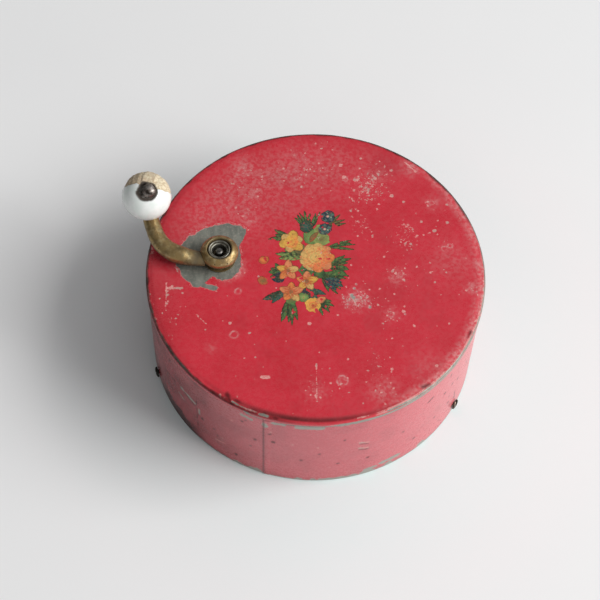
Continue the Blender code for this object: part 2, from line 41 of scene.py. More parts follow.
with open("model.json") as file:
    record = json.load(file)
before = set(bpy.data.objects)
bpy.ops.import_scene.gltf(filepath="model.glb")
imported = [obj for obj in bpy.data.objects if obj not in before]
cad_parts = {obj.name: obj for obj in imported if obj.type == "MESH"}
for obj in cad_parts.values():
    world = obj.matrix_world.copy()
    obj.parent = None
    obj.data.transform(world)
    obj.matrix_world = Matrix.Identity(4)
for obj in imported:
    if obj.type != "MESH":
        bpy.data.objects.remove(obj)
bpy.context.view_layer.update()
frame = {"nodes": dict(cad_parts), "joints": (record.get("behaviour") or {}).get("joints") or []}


def box_mm(node):
    low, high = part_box(node)
    return np.array(low) / MM, np.array(high) / MM


def joint(name):
    return next(j for j in frame["joints"] if j["name"] == name)


def vector_of(value):
    return Vector([float(v) for v in value])


LID_LOW, LID_HIGH = box_mm("top_cover")
RADIUS = LID_HIGH[0]
TOP = LID_HIGH[2]
HUB = np.array(joint("crank_turn")["pos_m"][:2], float) / MM
KNOB_ORIGIN = np.array(joint("knob_spin")["pos_m"], float) / MM
KNOB_AXIS = vector_of(joint("knob_spin")["axis"]).normalized()


# ---- numbers on a plane ---------------------------------------------------------

def smooth(value, low, high):
    """0 below low, 1 above high, eased between; high may be less than low."""
    t = np.clip((value - low) / (high - low), 0.0, 1.0)
    return t * t * (3.0 - 2.0 * t)


def lattice(ix, iy, seed):
    h = ix.astype(np.int64) * 374761393 + iy.astype(np.int64) * 668265263 + seed * 982451653
    h = (h ^ (h >> 13)) & 0xFFFFFFFF
    h = (h * 1274126177) & 0xFFFFFFFF
    return ((h ^ (h >> 16)) & 0xFFFF) / 65535.0


def value_noise(x, y, cell, seed):
    x, y = x / cell, y / cell
    ix, iy = np.floor(x), np.floor(y)
    fx, fy = smooth(x - ix, 0, 1), smooth(y - iy, 0, 1)
    low = lattice(ix, iy, seed) * (1 - fx) + lattice(ix + 1, iy, seed) * fx
    high = lattice(ix, iy + 1, seed) * (1 - fx) + lattice(ix + 1, iy + 1, seed) * fx
    return low * (1 - fy) + high * fy


def fbm(x, y, cell, seed=0, octaves=4):
    """Cloudy noise from 0 to 1 whose largest lumps are about one cell across."""
    total = sum(0.5 ** k * value_noise(x + 17.3 * k, y - 9.1 * k, cell / 2 ** k, seed + k)
                for k in range(octaves))
    return total / sum(0.5 ** k for k in range(octaves))


def line_distance(x, y, a, b):
    """Distance to a segment, and how far along it the nearest point is."""
    dx, dy = b[0] - a[0], b[1] - a[1]
    t = np.clip(((x - a[0]) * dx + (y - a[1]) * dy) / (dx * dx + dy * dy), 0, 1)
    return np.hypot(x - a[0] - t * dx, y - a[1] - t * dy), t


def spots(x, y, places):
    """Signed distance to the union of (x, y, radius) spots."""
    nearest = np.full(x.shape, 9.0)
    for cx, cy, r in places:
        nearest = np.minimum(nearest, np.hypot(x - cx, y - cy) - r)
    return nearest


def strokes(x, y, lines):
    """Signed distance to the union of (width, point, point, ...) strokes."""
    nearest = np.full(x.shape, 9.0)
    for width, *points in lines:
        for a, b in zip(points, points[1:]):
            nearest = np.minimum(nearest, line_distance(x, y, a, b)[0] - width / 2)
    return nearest


def blobs(x, y, places):
    """Soft clouds (x, y, radius, strength), the strongest wins."""
    cloud = np.zeros(x.shape)
    for cx, cy, r, strength in places:
        d = np.hypot(x - cx, y - cy) / r
        cloud = np.maximum(cloud, strength * np.exp(-1.4 * d * d))
    return cloud


def field(distance, reach=0.8):
    """Signed distance as 0..1 with 0.5 on the outline, so a node can cut it crisply."""
    return np.clip(0.5 - distance / (2 * reach), 0.0, 1.0)


# ---- node graphs ------------------------------------------------------------------

class Wire:
    """A node socket that takes part in sums."""

    def __init__(self, graph, socket):
        self.graph, self.socket = graph, socket

    def __add__(self, other):
        return self.graph.math("ADD", self, other)

    def __sub__(self, other):
        return self.graph.math("SUBTRACT", self, other)

    def __rsub__(self, other):
        return self.graph.math("SUBTRACT", other, self)

    def __mul__(self, other):
        return self.graph.math("MULTIPLY", self, other)

    __radd__ = __add__
    __rmul__ = __mul__

    def step(self, low, high):
        return self.graph.step(self, low, high)

    def most(self, other):
        return self.graph.math("MAXIMUM", self, other)


class Graph:
    """Builds one material; coordinates are object millimetres."""

    def __init__(self, name):
        self.material = bpy.data.materials.new(name)
        self.material.use_nodes = True
        self.tree = self.material.node_tree
        self.shader = self.tree.nodes["Principled BSDF"]
        place = self.tree.nodes.new("ShaderNodeTexCoord")
        scaled = self.tree.nodes.new("ShaderNodeVectorMath")
        scaled.operation = "SCALE"
        scaled.inputs["Scale"].default_value = 1 / MM
        self.tree.links.new(place.outputs["Object"], scaled.inputs[0])
        self.mm = Wire(self, scaled.outputs[0])

    def new(self, kind, **settings):
        made = self.tree.nodes.new("ShaderNode" + kind)
        for key, value in settings.items():
            setattr(made, key, value)
        return made

    def plug(self, value, socket):
        if isinstance(value, Wire):
            self.tree.links.new(value.socket, socket)
        elif isinstance(value, tuple) and len(value) == 3 and len(socket.default_value) == 4:
            socket.default_value = (*value, 1.0)
        else:
            socket.default_value = value

    def math(self, operation, *values):
        made = self.new("Math", operation=operation)
        for value, socket in zip(values, made.inputs):
            self.plug(value, socket)
        return Wire(self, made.outputs[0])

    def step(self, value, low, high):
        made = self.new("MapRange", interpolation_type="SMOOTHSTEP")
        flip = low > high
        self.plug(value, made.inputs["Value"])
        made.inputs["From Min"].default_value = min(low, high)
        made.inputs["From Max"].default_value = max(low, high)
        made.inputs["To Min"].default_value = 1.0 if flip else 0.0
        made.inputs["To Max"].default_value = 0.0 if flip else 1.0
        return Wire(self, made.outputs["Result"])

    def mix(self, factor, first, second, blend="MIX"):
        made = self.new("Mix", data_type="RGBA", blend_type=blend)
        self.plug(factor, made.inputs[0])
        self.plug(first, made.inputs[6])
        self.plug(second, made.inputs[7])
        return Wire(self, made.outputs[2])

    def blend(self, factor, first, second):
        made = self.new("Mix", data_type="FLOAT")
        self.plug(factor, made.inputs[0])
        self.plug(first, made.inputs[2])
        self.plug(second, made.inputs[3])
        return Wire(self, made.outputs[0])

    def stretch(self, x, y, z, vector=None):
        made = self.new("VectorMath", operation="MULTIPLY")
        self.plug(vector or self.mm, made.inputs[0])
        made.inputs[1].default_value = (x, y, z)
        return Wire(self, made.outputs[0])

    def warp(self, size, amount, vector=None):
        """The coordinates pushed about by noise, amount in millimetres."""
        noise = self.new("TexNoise")
        vector = vector or self.mm
        self.plug(vector, noise.inputs["Vector"])
        noise.inputs["Scale"].default_value = 1 / size
        noise.inputs["Detail"].default_value = 2.0
        centred = self.new("VectorMath", operation="SUBTRACT")
        self.tree.links.new(noise.outputs["Color"], centred.inputs[0])
        centred.inputs[1].default_value = (0.5, 0.5, 0.5)
        pushed = self.new("VectorMath", operation="SCALE")
        self.tree.links.new(centred.outputs[0], pushed.inputs[0])
        pushed.inputs["Scale"].default_value = 2 * amount
        total = self.new("VectorMath", operation="ADD")
        self.plug(vector, total.inputs[0])
        self.tree.links.new(pushed.outputs[0], total.inputs[1])
        return Wire(self, total.outputs[0])

    def noise(self, size, detail=3.0, rough=0.55, vector=None, offset=None):
        made = self.new("TexNoise")
        vector = vector or self.mm
        if offset:
            shifted = self.new("VectorMath", operation="ADD")
            self.plug(vector, shifted.inputs[0])
            shifted.inputs[1].default_value = offset
            vector = Wire(self, shifted.outputs[0])
        self.plug(vector, made.inputs["Vector"])
        made.inputs["Scale"].default_value = 1 / size
        made.inputs["Detail"].default_value = detail
        made.inputs["Roughness"].default_value = rough
        return Wire(self, made.outputs["Fac"])

    def cells(self, size, vector=None):
        """Voronoi distance in cell units, and a random value for each cell."""
        made = self.new("TexVoronoi")
        self.plug(vector or self.mm, made.inputs["Vector"])
        made.inputs["Scale"].default_value = 1 / size
        part = self.new("SeparateColor")
        self.tree.links.new(made.outputs["Color"], part.inputs[0])
        return Wire(self, made.outputs["Distance"]), Wire(self, part.outputs[0])

    def attribute(self, name):
        """The red, green, blue and alpha of a colour attribute, then the colour."""
        made = self.new("Attribute", attribute_name=name)
        part = self.new("SeparateColor")
        self.tree.links.new(made.outputs["Color"], part.inputs[0])
        return [Wire(self, part.outputs[i]) for i in range(3)] + [
            Wire(self, made.outputs["Alpha"]), Wire(self, made.outputs["Color"])]

    def axes(self):
        """The three coordinates, in millimetres."""
        part = self.new("SeparateXYZ")
        self.plug(self.mm, part.inputs[0])
        return [Wire(self, part.outputs[i]) for i in range(3)]

    def set(self, **values):
        for name, value in values.items():
            self.plug(value, self.shader.inputs[name.replace("_", " ")])

    def bump(self, height, depth, strength=1.0, below=None):
        """Bump of the given depth in millimetres; below is an earlier bump."""
        made = self.new("Bump")
        made.inputs["Strength"].default_value = strength
        made.inputs["Distance"].default_value = depth * MM
        self.plug(height, made.inputs["Height"])
        if below:
            self.plug(below, made.inputs["Normal"])
        return Wire(self, made.outputs[0])


# ---- materials ----------------------------------------------------------------------

RED = (0.58, 0.021, 0.040)
DEEP_RED = (0.51, 0.014, 0.028)
FADED = (0.575, 0.100, 0.122)
CHALK_AND_HIGHLIGHT = (0.66, 0.21, 0.205)
PALE_CHALK_AND_HIGHLIGHT = (0.76, 0.43, 0.385)
FLAKE = (0.40, 0.35, 0.30)
TIN_GREY = (0.250, 0.255, 0.218)
TIN_DARK = (0.165, 0.172, 0.148)
TIN_LIGHT = (0.42, 0.385, 0.34)
GRIME_AND_SHADE = (0.040, 0.014, 0.013)


def speckle(g, size, amount, vector):
    """Small round specks; amount from 0 to 1 gives how many cells hold one and how large."""
    distance, chance = g.cells(size, vector)
    radius = (amount - chance) * 0.50
    return (radius - distance).step(-0.02, 0.06)


def flakes(g, size, amount, level, offset=None):
    """Ragged flecks where cloudy noise and amount pass a level."""
    n = g.noise(size, 6.0, 0.70, offset=offset)
    return (n + amount * 0.24).step(level, level + 0.03)


def paint(name):
    """Old glossy enamel over tin with chips, specks, chalking, grime, and painted shade, sheen and
    highlight.

    The wear attribute holds bare metal, chalky chips with a painted rim highlight, speck density, and haze
    with a painted sheen;
    the tone attribute holds grime with painted shade, fading, dullness, and dark staining with painted
    shade.
    """
    g = Graph(name)
    bare_at, chalk_and_highlight_at, density, haze_and_sheen, _ = g.attribute("wear")
    grime_and_shade_at, fade, scuff, stain_and_shade, _ = g.attribute("tone")
    rough_edge = g.noise(0.9, 4.0, 0.65)
    fine_edge = g.noise(0.35, 3.0, 0.6, offset=(3.0, 7.0, 1.0))
    ragged = (rough_edge - 0.5) * 0.55 + (fine_edge - 0.5) * 0.35
    cloud = g.noise(14.0, 4.0, 0.6)
    mottle = g.noise(2.6, 4.0, 0.6, offset=(20.0, 4.0, 0.0))
    grain = g.noise(0.45, 3.0, 0.65)

    color = g.mix(cloud.step(0.34, 0.66) * 0.75 + mottle.step(0.3, 0.7) * 0.25, DEEP_RED, RED)
    color = g.mix(fade, color, FADED)
    crackle = g.noise(1.2, 3.0, 0.6, offset=(5.0, 2.0, 9.0))
    # haze and painted sheen pale the paint towards a chalky pink
    haze_and_sheen_mask = haze_and_sheen * (0.35 + 1.2 * crackle.step(0.36, 0.64)) * (0.25 + 1.4 * grain)
    haze_and_sheen_mask = g.math("MINIMUM", haze_and_sheen_mask, 0.85)
    color = g.mix(haze_and_sheen_mask, color, (0.60, 0.27, 0.265))
    color = g.mix(stain_and_shade * (0.5 + mottle), color, (0.17, 0.022, 0.024))

    flecks = flakes(g, 1.5, density, 0.735)
    tiny = flakes(g, 0.6, density, 0.745, (31.0, 8.0, 5.0))
    dots = speckle(g, 2.4, density * 0.45, g.warp(0.8, 0.3))
    # chalky chips and specks, and the painted rim highlight, take the pale chalk colours
    chalk_and_highlight_chip = (chalk_and_highlight_at + ragged).step(0.47, 0.60)
    chalk_and_highlight = g.math("MAXIMUM", g.math("MAXIMUM", chalk_and_highlight_chip, dots * 0.8),
                   g.math("MAXIMUM", flecks, tiny * 0.8))
    chalk_and_highlight_color = g.mix(fine_edge.step(0.36, 0.62), CHALK_AND_HIGHLIGHT, PALE_CHALK_AND_HIGHLIGHT)
    chalk_and_highlight_color = g.mix(g.noise(3.0, 2.0, 0.5, offset=(1.0, 9.0, 4.0)).step(0.50, 0.62) * 0.7,
                       chalk_and_highlight_color, FLAKE)
    color = g.mix(chalk_and_highlight * 0.74, color, chalk_and_highlight_color)

    core = flakes(g, 1.5, density, 0.785)
    bare_chip = (bare_at + ragged * 0.7).step(0.50, 0.57)
    rim = (bare_at + ragged * 0.7).step(0.40, 0.47)
    color = g.mix(rim * 0.6, color, (0.60, 0.27, 0.25))
    color = g.mix(core * 0.9, color, FLAKE)
    streak = g.noise(2.2, 3.0, 0.6, g.stretch(1.0, 0.3, 0.4))
    metal = g.mix(streak.step(0.32, 0.68), TIN_DARK, TIN_GREY)
    metal = g.mix(fade * 0.9, metal, TIN_LIGHT)
    metal = g.mix(rough_edge.step(0.48, 0.70) * 0.5, metal, FLAKE)
    color = g.mix(bare_chip, color, metal)
    # grime and painted shade from the tone attribute darken the paint towards near black
    grime_and_shade = g.math("MINIMUM", grime_and_shade_at * (0.55 + 0.9 * mottle), 0.95)
    color = g.mix(grime_and_shade, color, GRIME_AND_SHADE)

    roughness = g.blend(g.math("MINIMUM", chalk_and_highlight * 0.6 + haze_and_sheen_mask * 0.6 + scuff, 1.0), 0.24, 0.62)
    roughness = g.blend(bare_chip, roughness + (grain - 0.5) * 0.10, 0.50)
    height = 1.0 - bare_chip * 0.9 - chalk_and_highlight * 0.3 + (grain - 0.5) * 0.06 + (mottle - 0.5) * 0.12
    g.set(Base_Color=color, Roughness=roughness, Metallic=bare_chip * 0.35,
          Normal=g.bump(height, 0.08, 0.8), Specular_IOR_Level=g.blend(grime_and_shade, 0.5, 0.04))
    g.shader.inputs["IOR"].default_value = 1.5
    return g.material


def transfer_paint():
    """The printed flowers under old varnish, chipped with the paint they lie on."""
    g = Graph("floral_transfer")
    color = g.attribute("print")[4]
    density = g.attribute("wear")[2]
    grain = g.noise(0.35, 3.0, 0.6)
    mottle = g.noise(1.6, 3.0, 0.6)
    stroke = g.noise(0.55, 4.0, 0.7, offset=(4.0, 1.0, 8.0))
    dab = g.noise(1.1, 4.0, 0.65, offset=(8.0, 5.0, 2.0))
    color = g.mix(stroke.step(0.50, 0.66) * 0.28, color, (0.42, 0.24, 0.07))
    color = g.mix(dab.step(0.54, 0.66) * 0.42, color, (0.060, 0.070, 0.026))
    color = g.mix(g.noise(0.8, 4.0, 0.7, offset=(1.0, 7.0, 3.0)).step(0.60, 0.68) * 0.75,
                  color, (0.50, 0.030, 0.040))
    shade = g.math("ADD", 0.84, grain * 0.30 + mottle * 0.18)
    color = g.mix(1.0, color, g.mix(shade, (0.0, 0.0, 0.0), (1.0, 1.0, 1.0)), "MULTIPLY")
    specks = g.math("MAXIMUM", flakes(g, 1.5, density, 0.735),
                    flakes(g, 0.6, density, 0.745, (31.0, 8.0, 5.0)))
    color = g.mix(specks * 0.8, color, (0.62, 0.42, 0.38))
    g.set(Base_Color=color, Roughness=g.blend(grain, 0.30, 0.48), Normal=g.bump(grain - specks, 0.03, 0.6))
    g.shader.inputs["IOR"].default_value = 1.5
    return g.material


def brass(name, dark=(0.070, 0.048, 0.022), warm=(0.36, 0.25, 0.105), pale=(0.52, 0.43, 0.24),
          polish=0.5):
    """Old brass: brown tarnish, gold where hands rub it, olive and grey bloom."""
    g = Graph(name)
    cloud = g.noise(4.5, 5.0, 0.62)
    patch = g.noise(1.7, 4.0, 0.6, offset=(5.0, 3.0, 9.0))
    grain = g.noise(0.28, 3.0, 0.65)
    pit_distance, pit_chance = g.cells(1.3, g.warp(0.7, 0.3))
    pits = ((pit_chance - 0.72) * 0.9 - pit_distance).step(-0.02, 0.07)
    color = g.mix(0.18 + cloud.step(0.30, 0.66) * 0.78, dark, warm)
    color = g.mix(patch.step(0.48, 0.72) * polish, color, pale)
    color = g.mix(g.noise(2.6, 4.0, 0.6, offset=(11.0, 2.0, 4.0)).step(0.58, 0.75) * 0.55,
                  color, (0.105, 0.115, 0.062))
    color = g.mix(pits * 0.8, color, (0.030, 0.022, 0.014))
    # this attribute darkens the brass with painted shade on undersides and in the bore, and makes it dull
    # there
    soil_and_shade = g.attribute("soil_and_shade")[0] * (0.7 + 0.6 * patch)
    soil_and_shade = g.math("MINIMUM", soil_and_shade, 0.95)
    color = g.mix(soil_and_shade, color, (0.046, 0.034, 0.018))
    roughness = g.blend(cloud.step(0.35, 0.65), 0.52, 0.30) + (grain - 0.5) * 0.22
    roughness = g.blend(soil_and_shade, roughness, 0.72)
    metallic = g.blend(cloud.step(0.30, 0.65), 0.55, 0.88) * (1.0 - 0.85 * soil_and_shade)
    g.set(Base_Color=color, Metallic=metallic, Roughness=roughness,
          Normal=g.bump(grain * 0.5 + patch * 0.6 - pits, 0.05, 0.7))
    return g.material


def steel(name, dark=(0.07, 0.062, 0.055), light=(0.34, 0.33, 0.31), rust=0.25, rough=0.42):
    """Steel with brown oxide in patches and fine scratches."""
    g = Graph(name)
    cloud = g.noise(2.2, 5.0, 0.6)
    grain = g.noise(0.22, 3.0, 0.65)
    scratches = g.noise(0.5, 3.0, 0.6, g.stretch(0.2, 1.0, 1.0))
    color = g.mix(cloud.step(0.34, 0.64), dark, light)
    color = g.mix(g.noise(1.3, 4.0, 0.6, offset=(7.0, 1.0, 2.0)).step(0.5, 0.7) * rust,
                  color, (0.13, 0.055, 0.025))
    g.set(Base_Color=color, Metallic=1.0,
          Roughness=(grain - 0.5) * 0.25 + (cloud * -0.12 + (rough + 0.06)),
          Normal=g.bump(grain * 0.6 + scratches * 0.5, 0.03, 0.7))
    return g.material


def bare_tin():
    g = Graph("bare_tin")
    cloud = g.noise(9.0, 5.0, 0.6)
    spangle, chance = g.cells(3.5, g.warp(2.0, 0.8))
    grain = g.noise(0.3, 3.0, 0.6)
    color = g.mix(cloud.step(0.35, 0.65), (0.16, 0.155, 0.14), (0.36, 0.36, 0.34))
    color = g.mix(chance * 0.25, color, (0.42, 0.42, 0.41))
    color = g.mix(g.noise(2.0, 5.0, 0.65, offset=(4.0, 4.0, 8.0)).step(0.60, 0.72) * 0.6,
                  color, (0.12, 0.055, 0.030))
    g.set(Base_Color=color, Metallic=0.85, Roughness=g.blend(cloud, 0.35, 0.58),
          Normal=g.bump(grain + spangle * 0.3, 0.03, 0.6))
    return g.material


def turned_wood():
    g = Graph("turned_wood")
    rings = g.new("TexWave", wave_type="RINGS", rings_direction="Y")
    g.plug(g.warp(6.0, 1.5), rings.inputs["Vector"])
    rings.inputs["Scale"].default_value = 0.12
    rings.inputs["Distortion"].default_value = 2.5
    rings.inputs["Detail"].default_value = 3.0
    grain = g.noise(0.5, 4.0, 0.6, g.stretch(1.0, 0.12, 1.0))
    color = g.mix(Wire(g, rings.outputs["Fac"]), (0.34, 0.19, 0.09), (0.55, 0.36, 0.19))
    color = g.mix(grain.step(0.45, 0.75) * 0.5, color, (0.22, 0.115, 0.055))
    g.set(Base_Color=color, Roughness=g.blend(grain, 0.42, 0.62), Normal=g.bump(grain, 0.06, 0.7))
    return g.material


def wound_thread():
    """Cotton thread: fine turns one above another, with a twist in each."""
    g = Graph("wound_thread")
    turns = g.new("TexWave", wave_type="BANDS", bands_direction="Z")
    g.plug(g.warp(3.0, 0.12), turns.inputs["Vector"])
    turns.inputs["Scale"].default_value = 0.9
    fibre = g.noise(0.25, 3.0, 0.7)
    lay = Wire(g, turns.outputs["Fac"])
    color = g.mix(lay, (0.46, 0.40, 0.30), (0.80, 0.75, 0.64))
    color = g.mix(fibre * 0.35, color, (0.62, 0.55, 0.43))
    g.set(Base_Color=color, Roughness=g.blend(fibre, 0.75, 0.95),
          Normal=g.bump(lay + fibre * 0.3, 0.12, 0.9))
    return g.material


def porcelain():
    """White glaze; the chip attribute holds bare biscuit, darkening of the biscuit, and the rivet's recess
    painted near black as shade.
    """
    g = Graph("porcelain")
    chip_at, biscuit_darkening_at, recess_shade_at, _, _ = g.attribute("chip")
    edge = g.noise(0.5, 3.0, 0.6)
    grain = g.noise(0.30, 4.0, 0.7)
    scored = g.noise(0.7, 4.0, 0.65, g.stretch(1.0, 1.0, 0.35))
    cloud = g.noise(3.2, 3.0, 0.5)
    chip = (chip_at + (edge - 0.5) * 0.10).step(0.48, 0.53)
    glaze = g.mix(cloud.step(0.3, 0.7), (0.70, 0.76, 0.72), (0.80, 0.82, 0.80))
    pit_distance, pit_chance = g.cells(0.9)
    pits = ((pit_chance - 0.93) * 2.0 - pit_distance).step(-0.02, 0.05)
    glaze = g.mix(pits * 0.6, glaze, (0.16, 0.20, 0.17))
    biscuit = g.mix(scored.step(0.32, 0.66), (0.46, 0.35, 0.22), (0.72, 0.64, 0.46))
    biscuit = g.mix(cloud.step(0.42, 0.70) * 0.5, biscuit, (0.56, 0.42, 0.30))
    biscuit = g.mix(biscuit_darkening_at * 0.8, biscuit, (0.30, 0.19, 0.12))
    color = g.mix(chip, glaze, biscuit)
    # the rivet's recess is painted near black as shade
    color = g.mix(recess_shade_at, color, (0.045, 0.032, 0.024))
    height = grain * 0.5 + scored * 0.8
    rough_bump = g.bump(g.math("MULTIPLY", height, g.math("MAXIMUM", chip, recess_shade_at)), 0.18, 0.9)
    g.set(Base_Color=color, Normal=rough_bump,
          Roughness=g.blend(g.math("MAXIMUM", chip, recess_shade_at), 0.12, 0.85))
    g.shader.inputs["IOR"].default_value = 1.54
    g.shader.inputs["Subsurface Weight"].default_value = 0.0
    return g.material


def table_top():
    g = Graph("table_top")
    cloud = g.noise(90.0, 3.0, 0.5)
    grain = g.noise(1.2, 2.0, 0.5)
    color = g.mix(cloud, (0.80, 0.80, 0.805), (0.84, 0.84, 0.84))
    along, across, _ = g.axes()
    away = g.math("SQRT", along * along + across * across)
    # a cyan tint painted beside the box, strongest to the right, to cancel the red light the wall bounces
    # onto the floor
    bounce_counter_tint = away.step(105.0, 52.0) * (0.45 + 0.55 * (along - 0.5 * across).step(-20.0, 50.0))
    color = g.mix(bounce_counter_tint * 0.8, color, (0.690, 0.825, 0.822))
    g.set(Base_Color=color, Roughness=g.blend(grain, 0.50, 0.62), Normal=g.bump(grain, 0.02, 0.4))
    return g.material


# ---- meshes -----------------------------------------------------------------------

def grid_faces(loops, count, closed=True):
    """Quads between consecutive rings of count points; closed joins last to first."""
    rings = np.arange(loops if closed else loops - 1)
    i = np.arange(count)
    a = rings[:, None] * count + i
    b = rings[:, None] * count + (i + 1) % count
    c = ((rings + 1) % loops)[:, None] * count + (i + 1) % count
    d = ((rings + 1) % loops)[:, None] * count + i
    return np.stack([a, b, c, d], -1).reshape(-1, 4)


def make_piece(name, points, faces, material, body, replaced=(), place=None, sharp=38):
    mesh = bpy.data.meshes.new(name)
    mesh.from_pydata((np.asarray(points) * MM).tolist(), [], faces)
    piece = bpy.data.objects.new(name, mesh)
    bpy.context.scene.collection.objects.link(piece)
    bm = bmesh.new()
    bm.from_mesh(mesh)
    bmesh.ops.recalc_face_normals(bm, faces=bm.faces)
    bm.to_mesh(mesh)
    bm.free()
    if place is not None:
        mesh.transform(place)
    mesh.shade_smooth()
    mesh.set_sharp_from_angle(angle=radians(sharp))
    mesh.materials.append(material)
    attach(piece, body)
    if replaced:
        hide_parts(*replaced)
    return piece


def points_mm(piece):
    flat = np.zeros(len(piece.data.vertices) * 3)
    piece.data.vertices.foreach_get("co", flat)
    return flat.reshape(-1, 3) / MM


def write_attribute(piece, name, *channels):
    """Writes four point values, 0 to 1, as a colour attribute."""
    attribute = piece.data.attributes.new(name, "FLOAT_COLOR", "POINT")
    size = len(piece.data.vertices)
    data = np.stack([np.broadcast_to(np.asarray(c, float), size) for c in channels], -1)
    attribute.data.foreach_set("color", np.clip(data, 0, 1).astype(np.float32).ravel())


def cut_hole(piece, centre, radius, low, high):
    """Cuts an upright round hole and applies it."""
    turn = np.linspace(0, 2 * pi, 48, endpoint=False)
    ring = np.stack([centre[0] + radius * np.cos(turn), centre[1] + radius * np.sin(turn)], -1)
    points = np.concatenate([np.c_[ring, np.full(48, low)], np.c_[ring, np.full(48, high)]])
    faces = grid_faces(2, 48, closed=False).tolist() + [list(range(48))[::-1], list(range(48, 96))]
    mesh = bpy.data.meshes.new("hole")
    mesh.from_pydata((points * MM).tolist(), [], faces)
    cutter = bpy.data.objects.new("hole", mesh)
    bpy.context.scene.collection.objects.link(cutter)
    modifier = piece.modifiers.new("hole", "BOOLEAN")
    modifier.operation = "DIFFERENCE"
    modifier.solver = "EXACT"
    modifier.object = cutter
    depsgraph = bpy.context.evaluated_depsgraph_get()
    result = bpy.data.meshes.new_from_object(piece.evaluated_get(depsgraph))
    piece.modifiers.clear()
    piece.data = result
    bpy.data.objects.remove(cutter)


# ---- lid --------------------------------------------------------------------------

LID_RINGS = 132
VALLEY = 53.6


def azimuth(x, y):
    return np.degrees(np.arctan2(y, x))


def around(angle, middle, width):
    """1 at an azimuth, falling to 0 half a width away, in degrees."""
    away = np.abs((angle - middle + 180) % 360 - 180)
    return smooth(away, width / 2, 0)


def lid_height(x, y):
    """The lid's slight unevenness, with knocks near the front left edge."""
    r = np.hypot(x, y)
    az = azimuth(x, y)
    waves = (fbm(x, y, 26, 5, 3) - 0.62) * 0.16
    channel = (0.07 + 0.42 * around(az, -100, 84)) * np.exp(-((r - VALLEY) / 0.55) ** 2)
    crimp = 0.30 * around(az, -113, 26) * np.exp(-((r - 54.4) / 0.28) ** 2) * (fbm(az, r, 2.5, 8, 2) > 0.45)
    knocks = 0.25 * around(az, -121, 12) * smooth(r, 50.5, 53.0) * fbm(x, y, 3.0, 8, 2)
    return waves * smooth(r, 55, 48) - channel - crimp - knocks


def make_lid(material):
    """The lid: a fine flat top, a shallow channel inside a rolled bead, and a skirt."""
    flat_radius = 51.6
    step = flat_radius / LID_RINGS
    points = [np.zeros((1, 2))]
    for ring in range(1, LID_RINGS + 1):
        turn = 2 * pi * np.arange(6 * ring) / (6 * ring)
        points.append(np.stack([np.cos(turn), np.sin(turn)], -1) * ring * step)
    flat = np.concatenate(points)
    faces = []
    for ring in range(LID_RINGS):
        inner = 1 + 3 * ring * (ring - 1) if ring else 0
        outer = 1 + 3 * (ring + 1) * ring
        for sector in range(6):
            i = np.arange(ring + 1)
            a = outer + sector * (ring + 1) + i
            b = outer + (sector * (ring + 1) + i + 1) % (6 * ring + 6)
            c = inner + ((sector * ring + i) % (6 * ring) if ring else 0 * i)
            faces += np.stack([a, b, c], -1).tolist()
            if ring:
                d = inner + (sector * ring + i[:-1] + 1) % (6 * ring)
                faces += np.stack([c[:-1], b[:-1], d], -1).tolist()
    count = 6 * LID_RINGS
    turn = 2 * pi * np.arange(count) / count
    profile = [(52.1, 0.0), (52.6, -0.01), (53.0, -0.04), (53.4, -0.09), (53.8, -0.15), (54.1, -0.20),
               (54.4, -0.26), (54.6, -0.34), (54.78, -0.46), (54.9, -0.62), (54.98, -0.85), (55.0, -1.2),
               (55.0, -1.7), (54.98, -2.2), (54.95, -2.55), (54.88, -2.7), (54.76, -2.7), (54.74, -2.5),
               (54.74, -1.3), (54.2, -1.05), (53.45, -1.15), (53.45, -6.5), (52.7, -6.5), (52.7, -1.0),
               (30.0, -0.9)]
    rings = []
    for r, z in profile:
        x, y = r * np.cos(turn), r * np.sin(turn)
        z_here = np.full(count, TOP + z)
        if z > -0.9 and r > 52.7:
            z_here += 0.12 * (fbm(x, y, 5.0, 31, 3) - 0.5)
        rings.append(np.stack([x, y, z_here], -1))
    top = np.c_[flat, np.full(len(flat), TOP)]
    base = len(top) - count
    allpoints = np.concatenate([top] + rings + [np.array([[0.0, 0.0, TOP - 0.9]])])
    faces += (grid_faces(len(profile) + 1, count, closed=False) + base).tolist()
    last = base + len(profile) * count
    i = np.arange(count)
    faces += np.stack([last + i, last + (i + 1) % count, np.full(count, len(allpoints) - 1)], -1).tolist()
    move = allpoints[:, 2] > TOP - 0.75
    allpoints[move, 2] += np.minimum(lid_height(allpoints[move, 0], allpoints[move, 1]), 0.0)
    lid = make_piece("lid_shell", allpoints, faces,
                     material, "case", ["top_cover"], sharp=50)
    cut_hole(lid, HUB, 3.65, TOP - 3, TOP + 3)
    lid.data.shade_smooth()
    lid.data.set_sharp_from_angle(angle=radians(50))
    paint_lid(lid)
    return lid


def scratched(x, y):
    """Pale strokes on the lid: a T at the left, a bright dab in front and a few scratches."""
    return strokes(x, y, (
        (0.6, (-48, -5), (-48, -14)), (0.9, (-48, -7), (-43, -7)), (1.4, (-17, -39), (-15, -39)),
        (0.4, (26, 2), (26, -2)), (0.5, (29, 45), (34, 39)), (0.5, (-38, -17), (-35, -20)),
        (0.3, (0, -34), (0, -47))))


# Areas of pale specks: x, y, spread, how many
LID_CROWDS = (
    (22, 39, 3, 22), (19, 35, 3, 24), (17, 31, 3, 36), (14, 27, 3, 26), (12, 23, 3, 12), (17, 16, 3, 18),
    (30, 17, 4, 36), (29, 10, 4, 28), (38, 26, 4, 14), (26, 1, 4, 14), (13, -10, 5, 50), (25, -17, 4, 20),
    (50, -6, 4, 14), (0, -43, 4, 26), (22, -44, 7, 36),
    (8, -41, 4, 12), (-47, -9, 4, 14), (-46, -25, 4, 10),
    (0, 42, 14, 52), (-22, 35, 12, 50), (-24, 22, 6, 20), (30, 0, 26, 70), (-18, -24, 24, 46))
